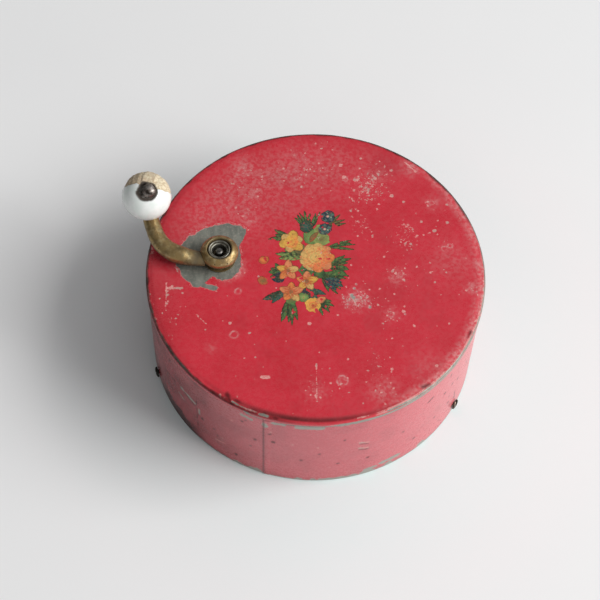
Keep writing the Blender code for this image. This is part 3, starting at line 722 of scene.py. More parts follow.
# Areas of single larger chips
LID_CHIPPED = ((18, 32, 10, 16), (32, 6, 26, 34), (20, -28, 24, 18), (-20, -20, 28, 14), (0, 38, 16, 8))
# Areas of small grey flakes, right through the paint
GREY_CROWDS = ((13, -10, 4, 24), (25, -17, 3, 4), (50, -6, 3, 4), (34, -42, 2, 2))


def crowd(x, y, groups, smallest, largest, seed):
    """Signed distance to seeded scatters of spots round the given places."""
    rng = np.random.default_rng(seed)
    places = []
    for cx, cy, spread, count in groups:
        away = rng.normal(0.0, spread / 2, (count, 2))
        size = smallest + (largest - smallest) * rng.random(count) ** 2.2
        places += [(cx + dx, cy + dy, r) for (dx, dy), r in zip(away, size)]
    return spots(x, y, places)


def rings_drawn(x, y):
    """Small ring marks left by drops."""
    distance = np.full(x.shape, 9.0)
    for cx, cy, r in ((42, 9, 0.8), (44, 10, 0.8), (10, 36, 0.8),
                      (-25, -8, 1.0), (-26, -24, 1.3), (8, -40, 1.7)):
        distance = np.minimum(distance, np.abs(np.hypot(x - cx, y - cy) - r) - 0.18)
    return distance


def patch_distance(x, y):
    """Distance outside the bare patch that the turning arm has worn round the hub."""
    dx, dy = x - HUB[0], y - HUB[1]
    turn = np.degrees(np.arctan2(dy, dx))
    behind = np.abs((turn - 145 + 180) % 360 - 180)
    reach = 7.5 + 6.0 * smooth(behind, 108, 90) + 0.7 * np.cos(np.radians(3 * (turn - 60)))
    main = (np.hypot(dx, dy) - reach) * 0.8
    toe = [HUB + 11 * np.array([cos(radians(a)), sin(radians(a))]) for a in (-115, -105, -97)]
    return np.minimum(main, strokes(x, y, ((1.7, *toe),)))


def paint_lid(lid):
    p = points_mm(lid)
    x, y, z = p.T
    r = np.hypot(x, y)
    az = azimuth(x, y)
    on_top = smooth(r, 53.4, 52.8)
    rim = smooth(r, 53.9, 54.3)
    upward = z > TOP - 0.75
    east = smooth(np.abs((az + 178) % 360 - 180), 86, 62)
    skirt = smooth(z, TOP - 0.75, TOP - 1.0) * (r > 54)
    waves = fbm(x, y, 6.0, 41, 4)
    fine = fbm(x, y, 1.6, 43, 3)

    patch = patch_distance(x, y) + 1.0 * (fbm(x, y, 2.2, 45, 3) - 0.5) + 0.7 * (fine - 0.5)
    bare = field(patch) * on_top
    grey = crowd(x, y, GREY_CROWDS, 0.14, 0.55, 201)
    bare = np.maximum(bare, field(grey + (fine - 0.5) * 0.6) * on_top)
    # on the right the edge is rubbed down to the metal under a lip that carries a painted highlight
    right = smooth(np.abs((az + 212) % 360 - 180), 62, 44)
    front = around(az, -92, 34)
    flakes_off = fbm(az, z * 2, 4.0, 47, 3)
    worn_skirt = skirt * np.clip(right * (0.85 + 0.9 * (flakes_off - 0.3)), 0, 1)
    low_skirt = smooth(z, TOP - 1.5, TOP - 2.0) * skirt
    worn_skirt = np.maximum(worn_skirt, low_skirt * np.clip(front * 1.1 + 0.9 * (flakes_off - 0.5), 0, 1))
    crimped = around(az, -112, 22)
    worn_skirt = np.maximum(worn_skirt, skirt * crimped * 0.9 * (flakes_off > 0.5))
    bare = np.maximum(bare, worn_skirt)
    lip = rim * (z > TOP - 0.75)
    # on the left and back the lip is shown as dark bare metal: partly wear, partly painted shade on the side
    # away from the light
    behind = (1 - right) * (1 - around(az, -100, 80))
    broken = fbm(az, r * 0.5, 4.0, 53, 3)
    bare = np.maximum(bare, lip * behind * (0.34 + 0.40 * broken))
    bare = np.maximum(bare, smooth(r, 54.25, 54.6) * upward * east * (0.40 + 0.55 * broken))

    singles = np.minimum(crowd(x, y, LID_CHIPPED, 0.22, 0.70, 207), scratched(x, y)) + (fine - 0.5) * 0.6
    small = crowd(x, y, LID_CROWDS, 0.13, 0.46, 203)
    chalk_and_highlight = field(np.minimum(singles, small), 0.7) * on_top
    edge_line = smooth(np.abs(r - 54.25), 0.55, 0.25) * upward
    # painted highlight: a pale line along the top of the bead on the right, where the rim faces the light
    lit_edge_highlight = smooth(np.abs((az + 220) % 360 - 180), 50, 34)
    chalk_and_highlight = np.maximum(chalk_and_highlight, edge_line * lit_edge_highlight * (0.30 + 0.52 * fbm(az, r, 3.4, 57, 3)))
    flecked = smooth(r, 51.3, 53.8) * upward * np.clip(fbm(x, y, 1.3, 59, 3) - 0.32, 0, 1)
    chalk_and_highlight = np.maximum(chalk_and_highlight, flecked * (1.05 * smooth(np.abs((az + 225) % 360 - 180), 62, 40)))
    chalk_and_highlight = np.maximum(chalk_and_highlight, flecked * 1.15 * smooth(np.abs((az + 335) % 360 - 180), 60, 40))
    chalk_and_highlight = np.maximum(chalk_and_highlight, edge_line * crimped * (0.34 + 0.5 * fbm(az, z, 2.0, 58, 2)))
    crimp = strokes(az, r, ((0.5, (-119, 54), (-115, 54.4), (-111, 54.2)),
                            (0.9, (-109, 54.5), (-106, 54.5))))
    crimp = field(crimp + (fine - 0.5) * 0.4, 0.4) * upward
    bare = np.maximum(bare, crimp)
    patch_line = np.exp(-((patch - 0.45) / 0.40) ** 2) * on_top
    chalk_and_highlight = np.maximum(chalk_and_highlight, patch_line * (0.36 + 0.35 * fine))

    density = blobs(x, y, (
        (18, 34, 9, 0.60), (15, 18, 6, 0.42), (30, 14, 8, 0.45),
        (28, -2, 10, 0.36), (13, -11, 6, 0.62), (24, -17, 5, 0.5),
        (20, -34, 12, 0.33), (-3, 40, 11, 0.38), (-22, 32, 13, 0.36), (-46, -16, 8, 0.40),
        (0, -44, 8, 0.25), (40, 10, 9, 0.26)))
    density = density * (0.6 + 0.8 * waves) + 0.16
    below_hub = around(np.degrees(np.arctan2(y - HUB[1], x - HUB[0])), -45, 120) * smooth(
        np.hypot(x - HUB[0], y - HUB[1]), 11.0, 7.5)
    density = (density + 0.55 * below_hub) * on_top + 0.30 * skirt * right + 0.30 * lip

    haze_and_sheen = 0.26 * smooth(y * 0.8 - x * 0.45, 8, 40) * smooth(r, 56, 40)
    haze_and_sheen = np.maximum(haze_and_sheen, blobs(x, y, (
        (-20, 30, 4, 0.45), (-22, 20, 4, 0.45), (-24, 39, 6, 0.42),
        (20, 38, 4, 0.32), (13, -11, 4, 0.40), (36, -36, 7, 0.16),
        (8, -40, 2, 0.30), (0, -44, 4, 0.18), (21, -44, 5, 0.34),
        (-33, -29, 2, 0.20), (24, -16, 3, 0.20), (45, 4, 9, 0.16),
        (39, 27, 3, 0.35), (26, -2, 3, 0.35), (50, -6, 3, 0.40), (32, 41, 4, 0.45))))
    haze_and_sheen = haze_and_sheen * (0.55 + 0.7 * waves) + 0.04 + 0.40 * below_hub
    worn_edge = smooth(r, 49.5, 53.8) * smooth(np.abs((az + 190) % 360 - 180), 72, 40)
    haze_and_sheen = np.maximum(haze_and_sheen, worn_edge * (0.16 + 0.50 * fbm(az, r, 3.0, 67, 3)) * (z > TOP - 0.75))
    haze_and_sheen = np.maximum(haze_and_sheen, 0.7 * smooth(field(rings_drawn(x, y), 0.6), 0.30, 0.65)) * upward

    # painted shade in the channel inside the bead, strongest at the front, and in the crease at the front
    # left
    valley = np.exp(-((r - VALLEY) / 0.75) ** 2) * (z > TOP - 1.0)
    front_arc = around(az, -95, 84)
    grime_and_shade = valley * front_arc * (0.40 + 0.55 * fbm(az, r, 8.0, 61, 3))
    creased = np.exp(-((r - 53.3) / 0.45) ** 2) * (z > TOP - 1.0) * around(az, -116, 20)
    grime_and_shade = np.maximum(grime_and_shade, creased * np.clip(2.2 * fbm(az, r, 2.4, 62, 3) - 0.5, 0, 0.9))
    # painted shade along the lower edge and underside of the skirt
    grime_and_shade = np.maximum(grime_and_shade, smooth(z, TOP - 2.35, TOP - 2.7) * 0.55 * (r > 54))
    smear = strokes(x, y, ((1.1, (33, -42), (35, -41)),
                           (0.9, (49, -22), (48, -24)), (0.8, (-28, -46), (-27, -46))))
    grime_and_shade = np.maximum(grime_and_shade, 0.8 * field(smear + (fine - 0.5) * 0.8, 0.5))
    # painted shade: the rim's outer edge darkened on the left and back, away from the light
    dark_rim = smooth(r + 1.2 * (broken - 0.5), 53.8, 54.4) * smooth(z, TOP - 1.6, TOP - 1.0)
    grime_and_shade = np.maximum(grime_and_shade, dark_rim * 0.76 * (1 - right) * (1 - around(az, -90, 50)))
    # a darker band along the rim's outer edge at the back right
    back_rim_darkening = smooth(r, 54.4, 54.75) * upward * 0.42 * smooth(az, -12, 8) * smooth(az, 100, 70)
    grime_and_shade = np.maximum(grime_and_shade, back_rim_darkening)
    # the knocked edge at the front left: dark breaks round a pale crimped line
    notches = strokes(az, r, ((1.4, (-122, 53), (-120, 54)),
                              (1.0, (-119, 54.7), (-111, 54.9)), (0.9, (-112, 53.8), (-107, 54)),
                              (0.8, (-105, 54.5), (-102, 54.5))))
    grime_and_shade = np.maximum(grime_and_shade, 0.86 * upward * field(notches + (fine - 0.5) * 1.1, 0.5))
    grime_and_shade = grime_and_shade * (1 - 0.9 * smooth(crimp, 0.4, 0.6))
    fade = 0.12 * smooth(x, -20, 50) * on_top * waves + skirt * (0.25 + 0.40 * right)
    scuff = 0.35 * haze_and_sheen + 0.15 * waves
    # the channel at the front is darkened again here as painted shade; the shaded mask adds painted shade on
    # the left of the lid and at two spots at the back right
    stain_and_shade = np.maximum(0.75 * valley * front_arc, 0.08 * smooth(waves, 0.58, 0.72) * on_top)
    shaded = np.maximum(smooth(x, -38, -54), blobs(x, y, ((24.0, 42.0, 7.0, 0.9), (20.5, 39.0, 4.0, 0.7))))
    stain_and_shade = np.maximum(stain_and_shade, 0.30 * shaded * upward)
    fade = np.maximum(fade, 0.85 * smooth(grey, 0.45, 0.05) * on_top)
    write_attribute(lid, "wear", bare, chalk_and_highlight, density, haze_and_sheen)
    write_attribute(lid, "tone", grime_and_shade, fade, scuff, stain_and_shade)


# ---- wall --------------------------------------------------------------------------

SEAM = -107.3


def make_wall(material):
    """The wall: one sheet bent round, its end lapped over at the seam."""
    count, outer, sheet = 840, 54.7, 0.8
    turn = -pi + 2 * pi * np.arange(count) / count
    angle = np.degrees(turn)
    half = degrees(4.5 / outer / 2)
    lap = ((angle - SEAM > -half) & (angle - SEAM < half)).astype(float)
    fade_in = np.interp(angle - SEAM, [0, 1.5, half, half + 0.01], [1, 0.8, 0.0, 0.0]) * (angle >= SEAM)
    heights = np.concatenate([[0.0, 0.12, 0.35], np.linspace(0.8, 39.4, 84), [39.9, 40.3, 40.8, 41.3]])
    rings = []
    for z in heights:
        bulge = 0.10 * (fbm(angle, np.full(count, z), 30.0, 71, 2) - 0.5)
        wave = fbm(angle * 0.96, np.full(count, z), 12.0, 73, 2) - 0.5
        step = 0.22 * fade_in * (1.0 if z < 39.7 else 0.0)
        bottom = -0.14 * (z == 0.0)
        top = -0.05 * (z > 40)
        r = outer - 0.05 + bulge + 0.07 * wave * (z < 39.5) + step + bottom + top
        r = np.minimum(r, 54.71) if z > 39.8 else r
        rings.append(np.stack([r * np.cos(turn), r * np.sin(turn), np.full(count, z)], -1))
    for z in (41.3, 30.0, 10.0, 0.0):
        r = outer - sheet
        rings.append(np.stack([r * np.cos(turn), r * np.sin(turn), np.full(count, z)], -1))
    points = np.concatenate(rings)
    faces = grid_faces(len(rings), count).tolist()
    wall = make_piece("wall_band", points, faces, material, "case", ["side_band"], sharp=50)
    paint_wall(wall)
    return wall


def wall_scatter(seed, count, azimuths, heights, sizes):
    """Seeded marks on the wall: azimuth, height, radius."""
    rng = np.random.default_rng(seed)
    return [(rng.uniform(*azimuths), rng.uniform(*heights), rng.uniform(*sizes)) for _ in range(count)]


def paint_wall(wall):
    p = points_mm(wall)
    x, y, z = p.T
    outer = np.hypot(x, y) > 54.2
    az = azimuth(x, y)
    arc = np.radians(az) * RADIUS
    at = lambda places: [(radians(a) * RADIUS, h, r) for a, h, r in places]
    line = lambda width, *ends: (width, *[(radians(a) * RADIUS, h) for a, h in ends])
    waves = fbm(arc, z, 9.0, 81, 4)
    fine = fbm(arc, z, 1.6, 83, 3)
    # left weights the side of the wall away from the light, which is given painted shade below
    left = np.where(az < 0, smooth(az, -104, -140), smooth(az, 40, 110))
    chips = spots(arc, z, at(wall_scatter(221, 17, (-150, -30), (0, 1), (0.8, 1.8)))) + (fine - 0.5) * 1.8
    edge = z - 0.25 - 1.3 * (fbm(arc, z * 0, 5.0, 85, 3) - 0.35) - 1.7 * left * (fine - 0.2)
    bare = np.maximum(field(chips), field(edge, 1.0))
    solder = spots(arc, z, at([(-107, 36, 1.2), (-107, 37, 0.9)]))
    flaked = strokes(arc, z, [line(2.0, (-115, 38), (-112, 37)),
                              line(1.8, (-104, 39), (-101, 39)), line(2.0, (-96, 39), (-88, 39)),
                              line(1.0, (-86, 40), (-77, 40)), line(2.0, (-66, 4), (-59, 4)),
                              line(1.4, (-72, 3), (-68, 3)),
                              line(1.0, (-88, 1), (-75, 1))])
    bare = np.maximum(bare, field(np.minimum(solder, flaked + (fine - 0.5) * 1.4)))
    under_rim = field(40.6 - z - 1.5 * (fbm(az, z * 0, 3.0, 87, 3) - 0.3), 0.8)
    bare = np.maximum(bare, under_rim * smooth(np.abs((az + 240) % 360 - 180), 42, 30))
    scratch = strokes(arc, z, [line(1.0, (-142, 25), (-138, 25)),
                               line(1.4, (-138, 25), (-135, 24)), line(1.0, (-133, 22), (-133, 19)),
                               line(0.6, (-144, 19), (-141, 18)), line(0.7, (-126, 9), (-122, 10)),
                               line(1.1, (-75, 25), (-72, 24)), line(1.1, (-75, 21), (-72, 20))])
    torn = field(scratch + (fine - 0.5) * 1.0 - 0.1, 0.5) * (az < -130)
    bare = np.maximum(bare, 0.95 * torn)
    nicks = spots(arc, z, at(wall_scatter(223, 9, (-128, -30), (8, 34), (0.4, 0.5))))
    chalk_and_highlight = field(np.minimum(scratch + (fine - 0.5) * 0.4, nicks + (fine - 0.5) * 0.6), 0.6)
    density = 0.08 + 0.10 * waves + 0.22 * smooth(z, 6, 0) + 0.15 * smooth(z, 37, 40)
    # haze, less on the left except high up, and a painted sheen that makes the lit right side paler
    haze_and_sheen = ((0.04 + 0.06 * waves) * (1 - 0.8 * left) + 0.20 * left * smooth(z, 27, 36)
            + 0.22 * smooth(az, -62, -25) * smooth(az, 70, 0))
    # fading, lessened on the left so that side reads deeper as painted shade
    fade = np.clip(0.74 + 0.16 * smooth(z, 4, 22) + 0.10 * waves - 0.46 * left, 0, 1)
    holes = spots(arc, z, at(wall_scatter(227, 30, (-156, -20), (6, 35), (0.28, 0.5))))
    pits = field(holes - 0.28 + (fine - 0.5) * 0.5, 0.6)
    dashes = strokes(arc, z, [line(0.8, (-75, 24), (-72, 23)),
                              line(0.8, (-75, 20), (-72, 19)), line(1.1, (-49, 31), (-47, 32)),
                              line(0.7, (-38, 36), (-38, 34)), line(0.8, (-32, 15), (-31, 9))])
    pits = np.maximum(pits, field(dashes + (fine - 0.5) * 0.4, 0.6))
    seam = np.exp(-((arc - radians(SEAM) * RADIUS + 0.15) / 0.28) ** 2) * smooth(z, 40.5, 39.5)
    dark_line = field(strokes(arc + 0.8 * (fine - 0.5), z,
                              [line(0.45, (-134, 27), (-134, 6)), line(0.6, (-140, 24), (-135, 22)),
                                                             line(0.3, (-125, 14), (-125, 6))]), 0.4)
    # pits on the left are darkened more, as painted shade
    grime_and_shade = np.maximum(smooth(pits, 0.45, 0.70) * (0.75 + 0.65 * left), seam * 0.7)
    grime_and_shade = np.maximum(grime_and_shade, smooth(dark_line, 0.40, 0.7) * 1.0)
    # painted shade over the left side of the wall, away from the light
    grime_and_shade = np.maximum(grime_and_shade, 0.62 * left * (0.82 + 0.9 * (waves - 0.5)))
    # darker along the foot on the left, and darker again up to about 14 mm high on the left
    foot = smooth(z - 2.4 * (fine - 0.5), 4.2, 0.8)
    grime_and_shade = np.maximum(grime_and_shade, 0.88 * foot * around(az, -146, 84))
    low_left_darkening = smooth(z - 6.0 * (waves - 0.5) - 6.0 * (fine - 0.5), 14.0, 2.0) * around(az, -146, 52)
    grime_and_shade = np.maximum(grime_and_shade, 1.3 * low_left_darkening)
    # painted shade just under the lid's skirt, all round except the lit front right
    grime_and_shade = np.maximum(grime_and_shade, 0.45 * smooth(z, 38.8, 40.2) * (1 - around(az, -60, 120)))
    grime_and_shade = grime_and_shade * (1 - 0.85 * smooth(chalk_and_highlight, 0.42, 0.60)) * (1 - 0.8 * smooth(flaked, 0.6, -0.3))
    stain_and_shade = 0.14 * smooth(waves, 0.52, 0.70) + 0.30 * smooth(z, 4, 0) * fine
    fade = np.maximum(fade, 0.8 * smooth(bare, 0.30, 0.48))
    inner = ~outer
    write_attribute(wall, "wear", np.where(inner, 1.0, bare), np.where(inner, 0, chalk_and_highlight), density, haze_and_sheen)
    write_attribute(wall, "tone", grime_and_shade, fade, 0.10 * waves, stain_and_shade)


# ---- floral transfer ---------------------------------------------------------------

class Canvas:
    """A fine grid on the lid that flowers and leaves are painted on."""

    def __init__(self, x0, x1, y0, y1, step):
        self.x, self.y = np.meshgrid(np.arange(x0, x1, step), np.arange(y0, y1, step), indexing="ij")
        self.step = step
        self.color = np.zeros((*self.x.shape, 3))
        self.cover = np.zeros(self.x.shape)
        self.wobble = (fbm(self.x, self.y, 1.2, 91, 3) - 0.5, fbm(self.x, self.y, 1.2, 95, 3) - 0.5)
        self.tint = fbm(self.x, self.y, 0.7, 99, 3)

    def put(self, mask, color):
        color = np.asarray(color, float)
        self.color = self.color * (1 - mask[..., None]) + color * mask[..., None]
        self.cover = np.maximum(self.cover, mask)

    def blade(self, base, tip, width, dark, light, bend=0.0, round_tip=0.0, veins=5, heart=None):
        """A leaf or petal from base to tip, lighter on one side, with a midrib."""
        x, y = self.x + 0.35 * self.wobble[0], self.y + 0.35 * self.wobble[1]
        bx, by = base
        length = sqrt((tip[0] - bx) ** 2 + (tip[1] - by) ** 2)
        ux, uy = (tip[0] - bx) / length, (tip[1] - by) / length
        t = ((x - bx) * ux + (y - by) * uy) / length
        s = -(x - bx) * uy + (y - by) * ux - bend * 4 * t * (1 - t)
        inside = np.clip(t, 0, 1)
        pointed = np.sin(pi * inside ** 0.8) ** 0.85
        blunt = np.sqrt(np.clip(1 - (2 * inside ** 0.75 - 1) ** 2, 0, 1))
        half = width / 2 * (pointed * (1 - round_tip) + blunt * round_tip)
        gap = half - np.abs(s)
        mask = smooth(gap, -0.12, 0.12) * (t > 0) * (t < 1)
        across = np.clip(s / np.maximum(half, 0.05), -1, 1)
        rib = np.exp(-(s / 0.16) ** 2)
        vein = 0.5 + 0.5 * np.sin(2 * pi * (veins * inside - 0.8 * np.abs(across)))
        shade = np.clip(0.5 + 0.40 * across + 0.40 * (vein - 0.5) + 1.3 * (self.tint - 0.5) + 0.30 * rib,
                        0, 1)
        dark, light = np.asarray(dark), np.asarray(light)
        color = dark + (light - dark) * shade[..., None]
        color = color * (1 - 0.55 * smooth(gap, 0.36, 0.0))[..., None]
        if heart is not None:
            streak = 0.5 + 0.5 * np.sin(9.0 * across + 5.0 * self.wobble[0] + 2.0 * inside)
            red = smooth(inside + 0.35 * (streak - 0.5) + 0.8 * (self.tint - 0.5), 0.62, 0.10)
            red = np.maximum(red * 0.85, 0.75 * smooth(gap + 0.6 * (self.tint - 0.5), 0.34, 0.02))
            color = color + (np.asarray(heart) - color) * red[..., None]
        self.put(mask, color)

    def rosette(self, centre, radius, pale, deep, rays):
        """A full head of narrow petals, deeper in colour towards the lower right."""
        dx, dy = self.x - centre[0], self.y - centre[1]
        d = np.hypot(dx, dy) + 0.9 * self.wobble[0]
        streak = 0.5 + 0.5 * np.sin(rays * np.arctan2(dy, dx) + 9.0 * self.wobble[1] + 1.1 * d)
        side = (0.8 * dx - 0.6 * dy) / radius
        share = np.clip(0.16 + 0.66 * streak + 0.75 * side + 1.1 * (self.tint - 0.5), 0, 1)[..., None]
        color = np.asarray(pale) + (np.asarray(deep) - np.asarray(pale)) * share
        color = color * (0.90 + 0.20 * (np.abs(np.sin(2.3 * d + 3.0 * self.wobble[1]))))[..., None]
        self.put(smooth(d, radius + 0.3, radius - 0.3), color)

    def disc(self, centre, radius, inner, outer, ragged=0.3):
        d = np.hypot(self.x - centre[0], self.y - centre[1]) + ragged * self.wobble[0] * 2
        share = np.clip(d / radius, 0, 1)[..., None]
        color = np.asarray(inner) * (1 - share) + np.asarray(outer) * share
        self.put(smooth(d, radius + 0.12, radius - 0.12), color * (0.8 + 0.4 * self.tint[..., None]))

    def ring(self, centre, radius, width, color, start=0.0, sweep=360.0, strength=0.8):
        d = np.hypot(self.x - centre[0], self.y - centre[1]) + 0.3 * self.wobble[1]
        turn = (np.degrees(np.arctan2(self.y - centre[1], self.x - centre[0])) - start) % 360
        mask = smooth(np.abs(d - radius), width, width * 0.3) * (turn < sweep) * strength
        self.color = self.color * (1 - mask[..., None]) + np.asarray(color) * mask[..., None]


ORANGE = (0.72, 0.21, 0.055)
SALMON = (0.70, 0.23, 0.095)
CREAM = (0.64, 0.40, 0.135)
YELLOW = (0.68, 0.38, 0.070)
RUST = (0.40, 0.07, 0.03)
HEART = (0.46, 0.085, 0.030)
LEAF = (0.075, 0.180, 0.050)
LEAF_LIGHT = (0.24, 0.33, 0.095)
LEAF_DARK = (0.018, 0.038, 0.019)
TEAL = (0.030, 0.105, 0.085)
NAVY = (0.016, 0.022, 0.050)
OLIVE = (0.15, 0.13, 0.045)


def polar(centre, angle, distance):
    return (centre[0] + distance * cos(radians(angle)), centre[1] + distance * sin(radians(angle)))


def fan(c, rng, base, middle, spread, count, reach, width, dark, light):
    """A spray of leaves out of one point, each a little different."""
    for k in range(count):
        angle = middle + spread * ((k + 0.5) / count - 0.5) + rng.uniform(-5, 5)
        tip = polar(base, angle, reach * rng.uniform(0.78, 1.12))
        c.blade(base, tip, width * rng.uniform(0.8, 1.15), dark, light, rng.uniform(-0.3, 0.5))


def paint_leaves(c):
    rng = np.random.default_rng(231)
    for base, middle, spread, count, reach, width, dark, light in (
            ((-2, 15), 98, 76, 8, 8.5, 1.2, LEAF_DARK, LEAF),
            ((4, 17), 30, 60, 3, 6, 1.2, LEAF_DARK, OLIVE),
            ((4, 9), 8, 34, 4, 8.5, 1.2, LEAF_DARK, LEAF), ((4, 2), 3, 80, 6, 8, 2.0, LEAF_DARK, LEAF),
            ((2, -1), -38, 84, 7, 9.5, 1.8, LEAF_DARK, LEAF), ((3, -3), -30, 50, 3, 7, 2.0, NAVY, TEAL),
            ((-8, 12), 165, 60, 3, 7.5, 2.2, LEAF_DARK, LEAF),
            ((-4, 5), 172, 50, 3, 8.5, 2.8, LEAF_DARK, LEAF_LIGHT),
            ((-11, -1), 165, 110, 4, 5, 2.0, LEAF_DARK, LEAF),
            ((-10, -8), 215, 50, 3, 7.5, 2.4, LEAF_DARK, TEAL),
            ((-8, -10), 268, 44, 4, 10, 2.2, LEAF_DARK, LEAF),
            ((0, -11), -45, 100, 6, 6, 1.7, LEAF_DARK, LEAF),
            ((-4, -8), 330, 60, 3, 7, 2.4, LEAF_DARK, TEAL)):
        fan(c, rng, base, middle, spread, count, reach, width, dark, light)
    for centre, radius, inner, outer in (
            ((-1, 13), 3.2, LEAF_LIGHT, LEAF), ((2, 12), 2.6, OLIVE, LEAF_LIGHT),
            ((-3, 17), 2.4, TEAL, LEAF_DARK),
            ((1, 16), 1.6, OLIVE, LEAF_LIGHT), ((-5, 8), 1.8, LEAF_DARK, OLIVE),
            ((-3, 0), 2.4, LEAF_DARK, LEAF),
            ((1, -1), 2.0, LEAF, LEAF_DARK), ((-12, -3), 2.0, LEAF_DARK, NAVY),
            ((-4, -8), 2.0, NAVY, LEAF_DARK),
            ((-8, -11), 1.6, OLIVE, LEAF), ((-4, -10), 1.6, LEAF_LIGHT, LEAF),
            ((-17, -4), 1.6, OLIVE, HEART),
            ((-17, 4), 1.5, ORANGE, HEART)):
        c.disc(centre, radius, inner, outer, 0.55)
    c.blade((-2, 11), (1, 15), 1.8, RUST, OLIVE, 0.2)
    for centre, r in (((4, 21), 2.3), ((3, 16), 2.1)):
        c.disc(centre, r, TEAL, NAVY, 0.5)
        for angle in range(20, 380, 72):
            c.blade(centre, polar(centre, angle, r * 1.02), r * 0.95, NAVY, (0.07, 0.17, 0.14), 0.0, 1.0, 3)
            c.disc(polar(centre, angle + 36, r * 0.5), 0.22, (0.5, 0.52, 0.36), (0.35, 0.40, 0.28), 0.1)
        c.disc(centre, 0.42, (0.70, 0.42, 0.32), (0.62, 0.30, 0.24), 0.1)


def five_petals(c, centre, reaches, width, start, colors, eye=RUST):
    for k, (reach, color) in enumerate(zip(reaches, colors)):
        c.blade(centre, polar(centre, start + 72 * k, reach),
                width * 0.84, np.array(color) * 0.78, color, 0.0, 0.85, 3,
                HEART)
    c.disc(centre, 0.62, eye, OLIVE, 0.2)


def paint_flowers(c):
    rng = np.random.default_rng(233)
    yellow, peony, rose = (-8, 11), (0, 5), (-1, -13)
    for k in range(6):
        color = (CREAM, YELLOW)[k % 2]
        c.blade(yellow, polar(yellow, 20 + 60 * k, rng.uniform(3.8, 5.0)),
                3.6, np.array(color) * 0.72, color, 0.0, 1.0, 4,
                (0.58, 0.22, 0.05))
    c.rosette(yellow, 2.3, YELLOW, ORANGE, 9)
    c.disc(yellow, 1.0, ORANGE, YELLOW, 0.3)
    c.disc(peony, 5.1, CREAM, SALMON, 0.5)
    for k in range(9):
        angle = 160 + 40 * k
        color = CREAM if 60 < angle % 360 < 250 else (SALMON, ORANGE)[k % 2]
        c.blade(polar(peony, angle, 1.2), polar(peony, angle, rng.uniform(5.0, 6.4)), 4.3,
                np.array(color) * 0.74, color, 0.0,
                1.0, 4, (0.60, 0.20, 0.06))
    c.rosette(peony, 4.4, (0.64, 0.38, 0.12), (0.72, 0.17, 0.060), 17)
    c.rosette(peony, 2.0, (0.62, 0.42, 0.13), (0.68, 0.27, 0.080), 11)
    for radius, start in ((1.5, 200), (2.6, 110), (3.6, 250)):
        c.ring(peony, radius, 0.18, (0.46, 0.16, 0.045), start, 150, 0.5)
    for centre, colors in (((-9, 0), (SALMON, YELLOW, ORANGE, SALMON, CREAM)),
                           ((-3, -4), (SALMON, ORANGE, YELLOW, CREAM, YELLOW)),
                           ((-8, -8), (ORANGE, SALMON, ORANGE, CREAM, SALMON))):
        five_petals(c, centre, rng.uniform(3.5, 4.2, 5), 3.3, 88, colors)
    c.disc(rose, 2.6, ORANGE, YELLOW, 0.5)
    c.blade((0, -12), (3, -10), 2.4, np.array(SALMON) * 0.8, SALMON, 0.0, 1.0)
    c.disc(rose, 1.3, RUST, ORANGE, 0.4)
    for radius, start in ((0.75, 40), (1.4, 160), (2.0, 280)):
        c.ring(rose, radius, 0.22, YELLOW, start, 190, 0.8)


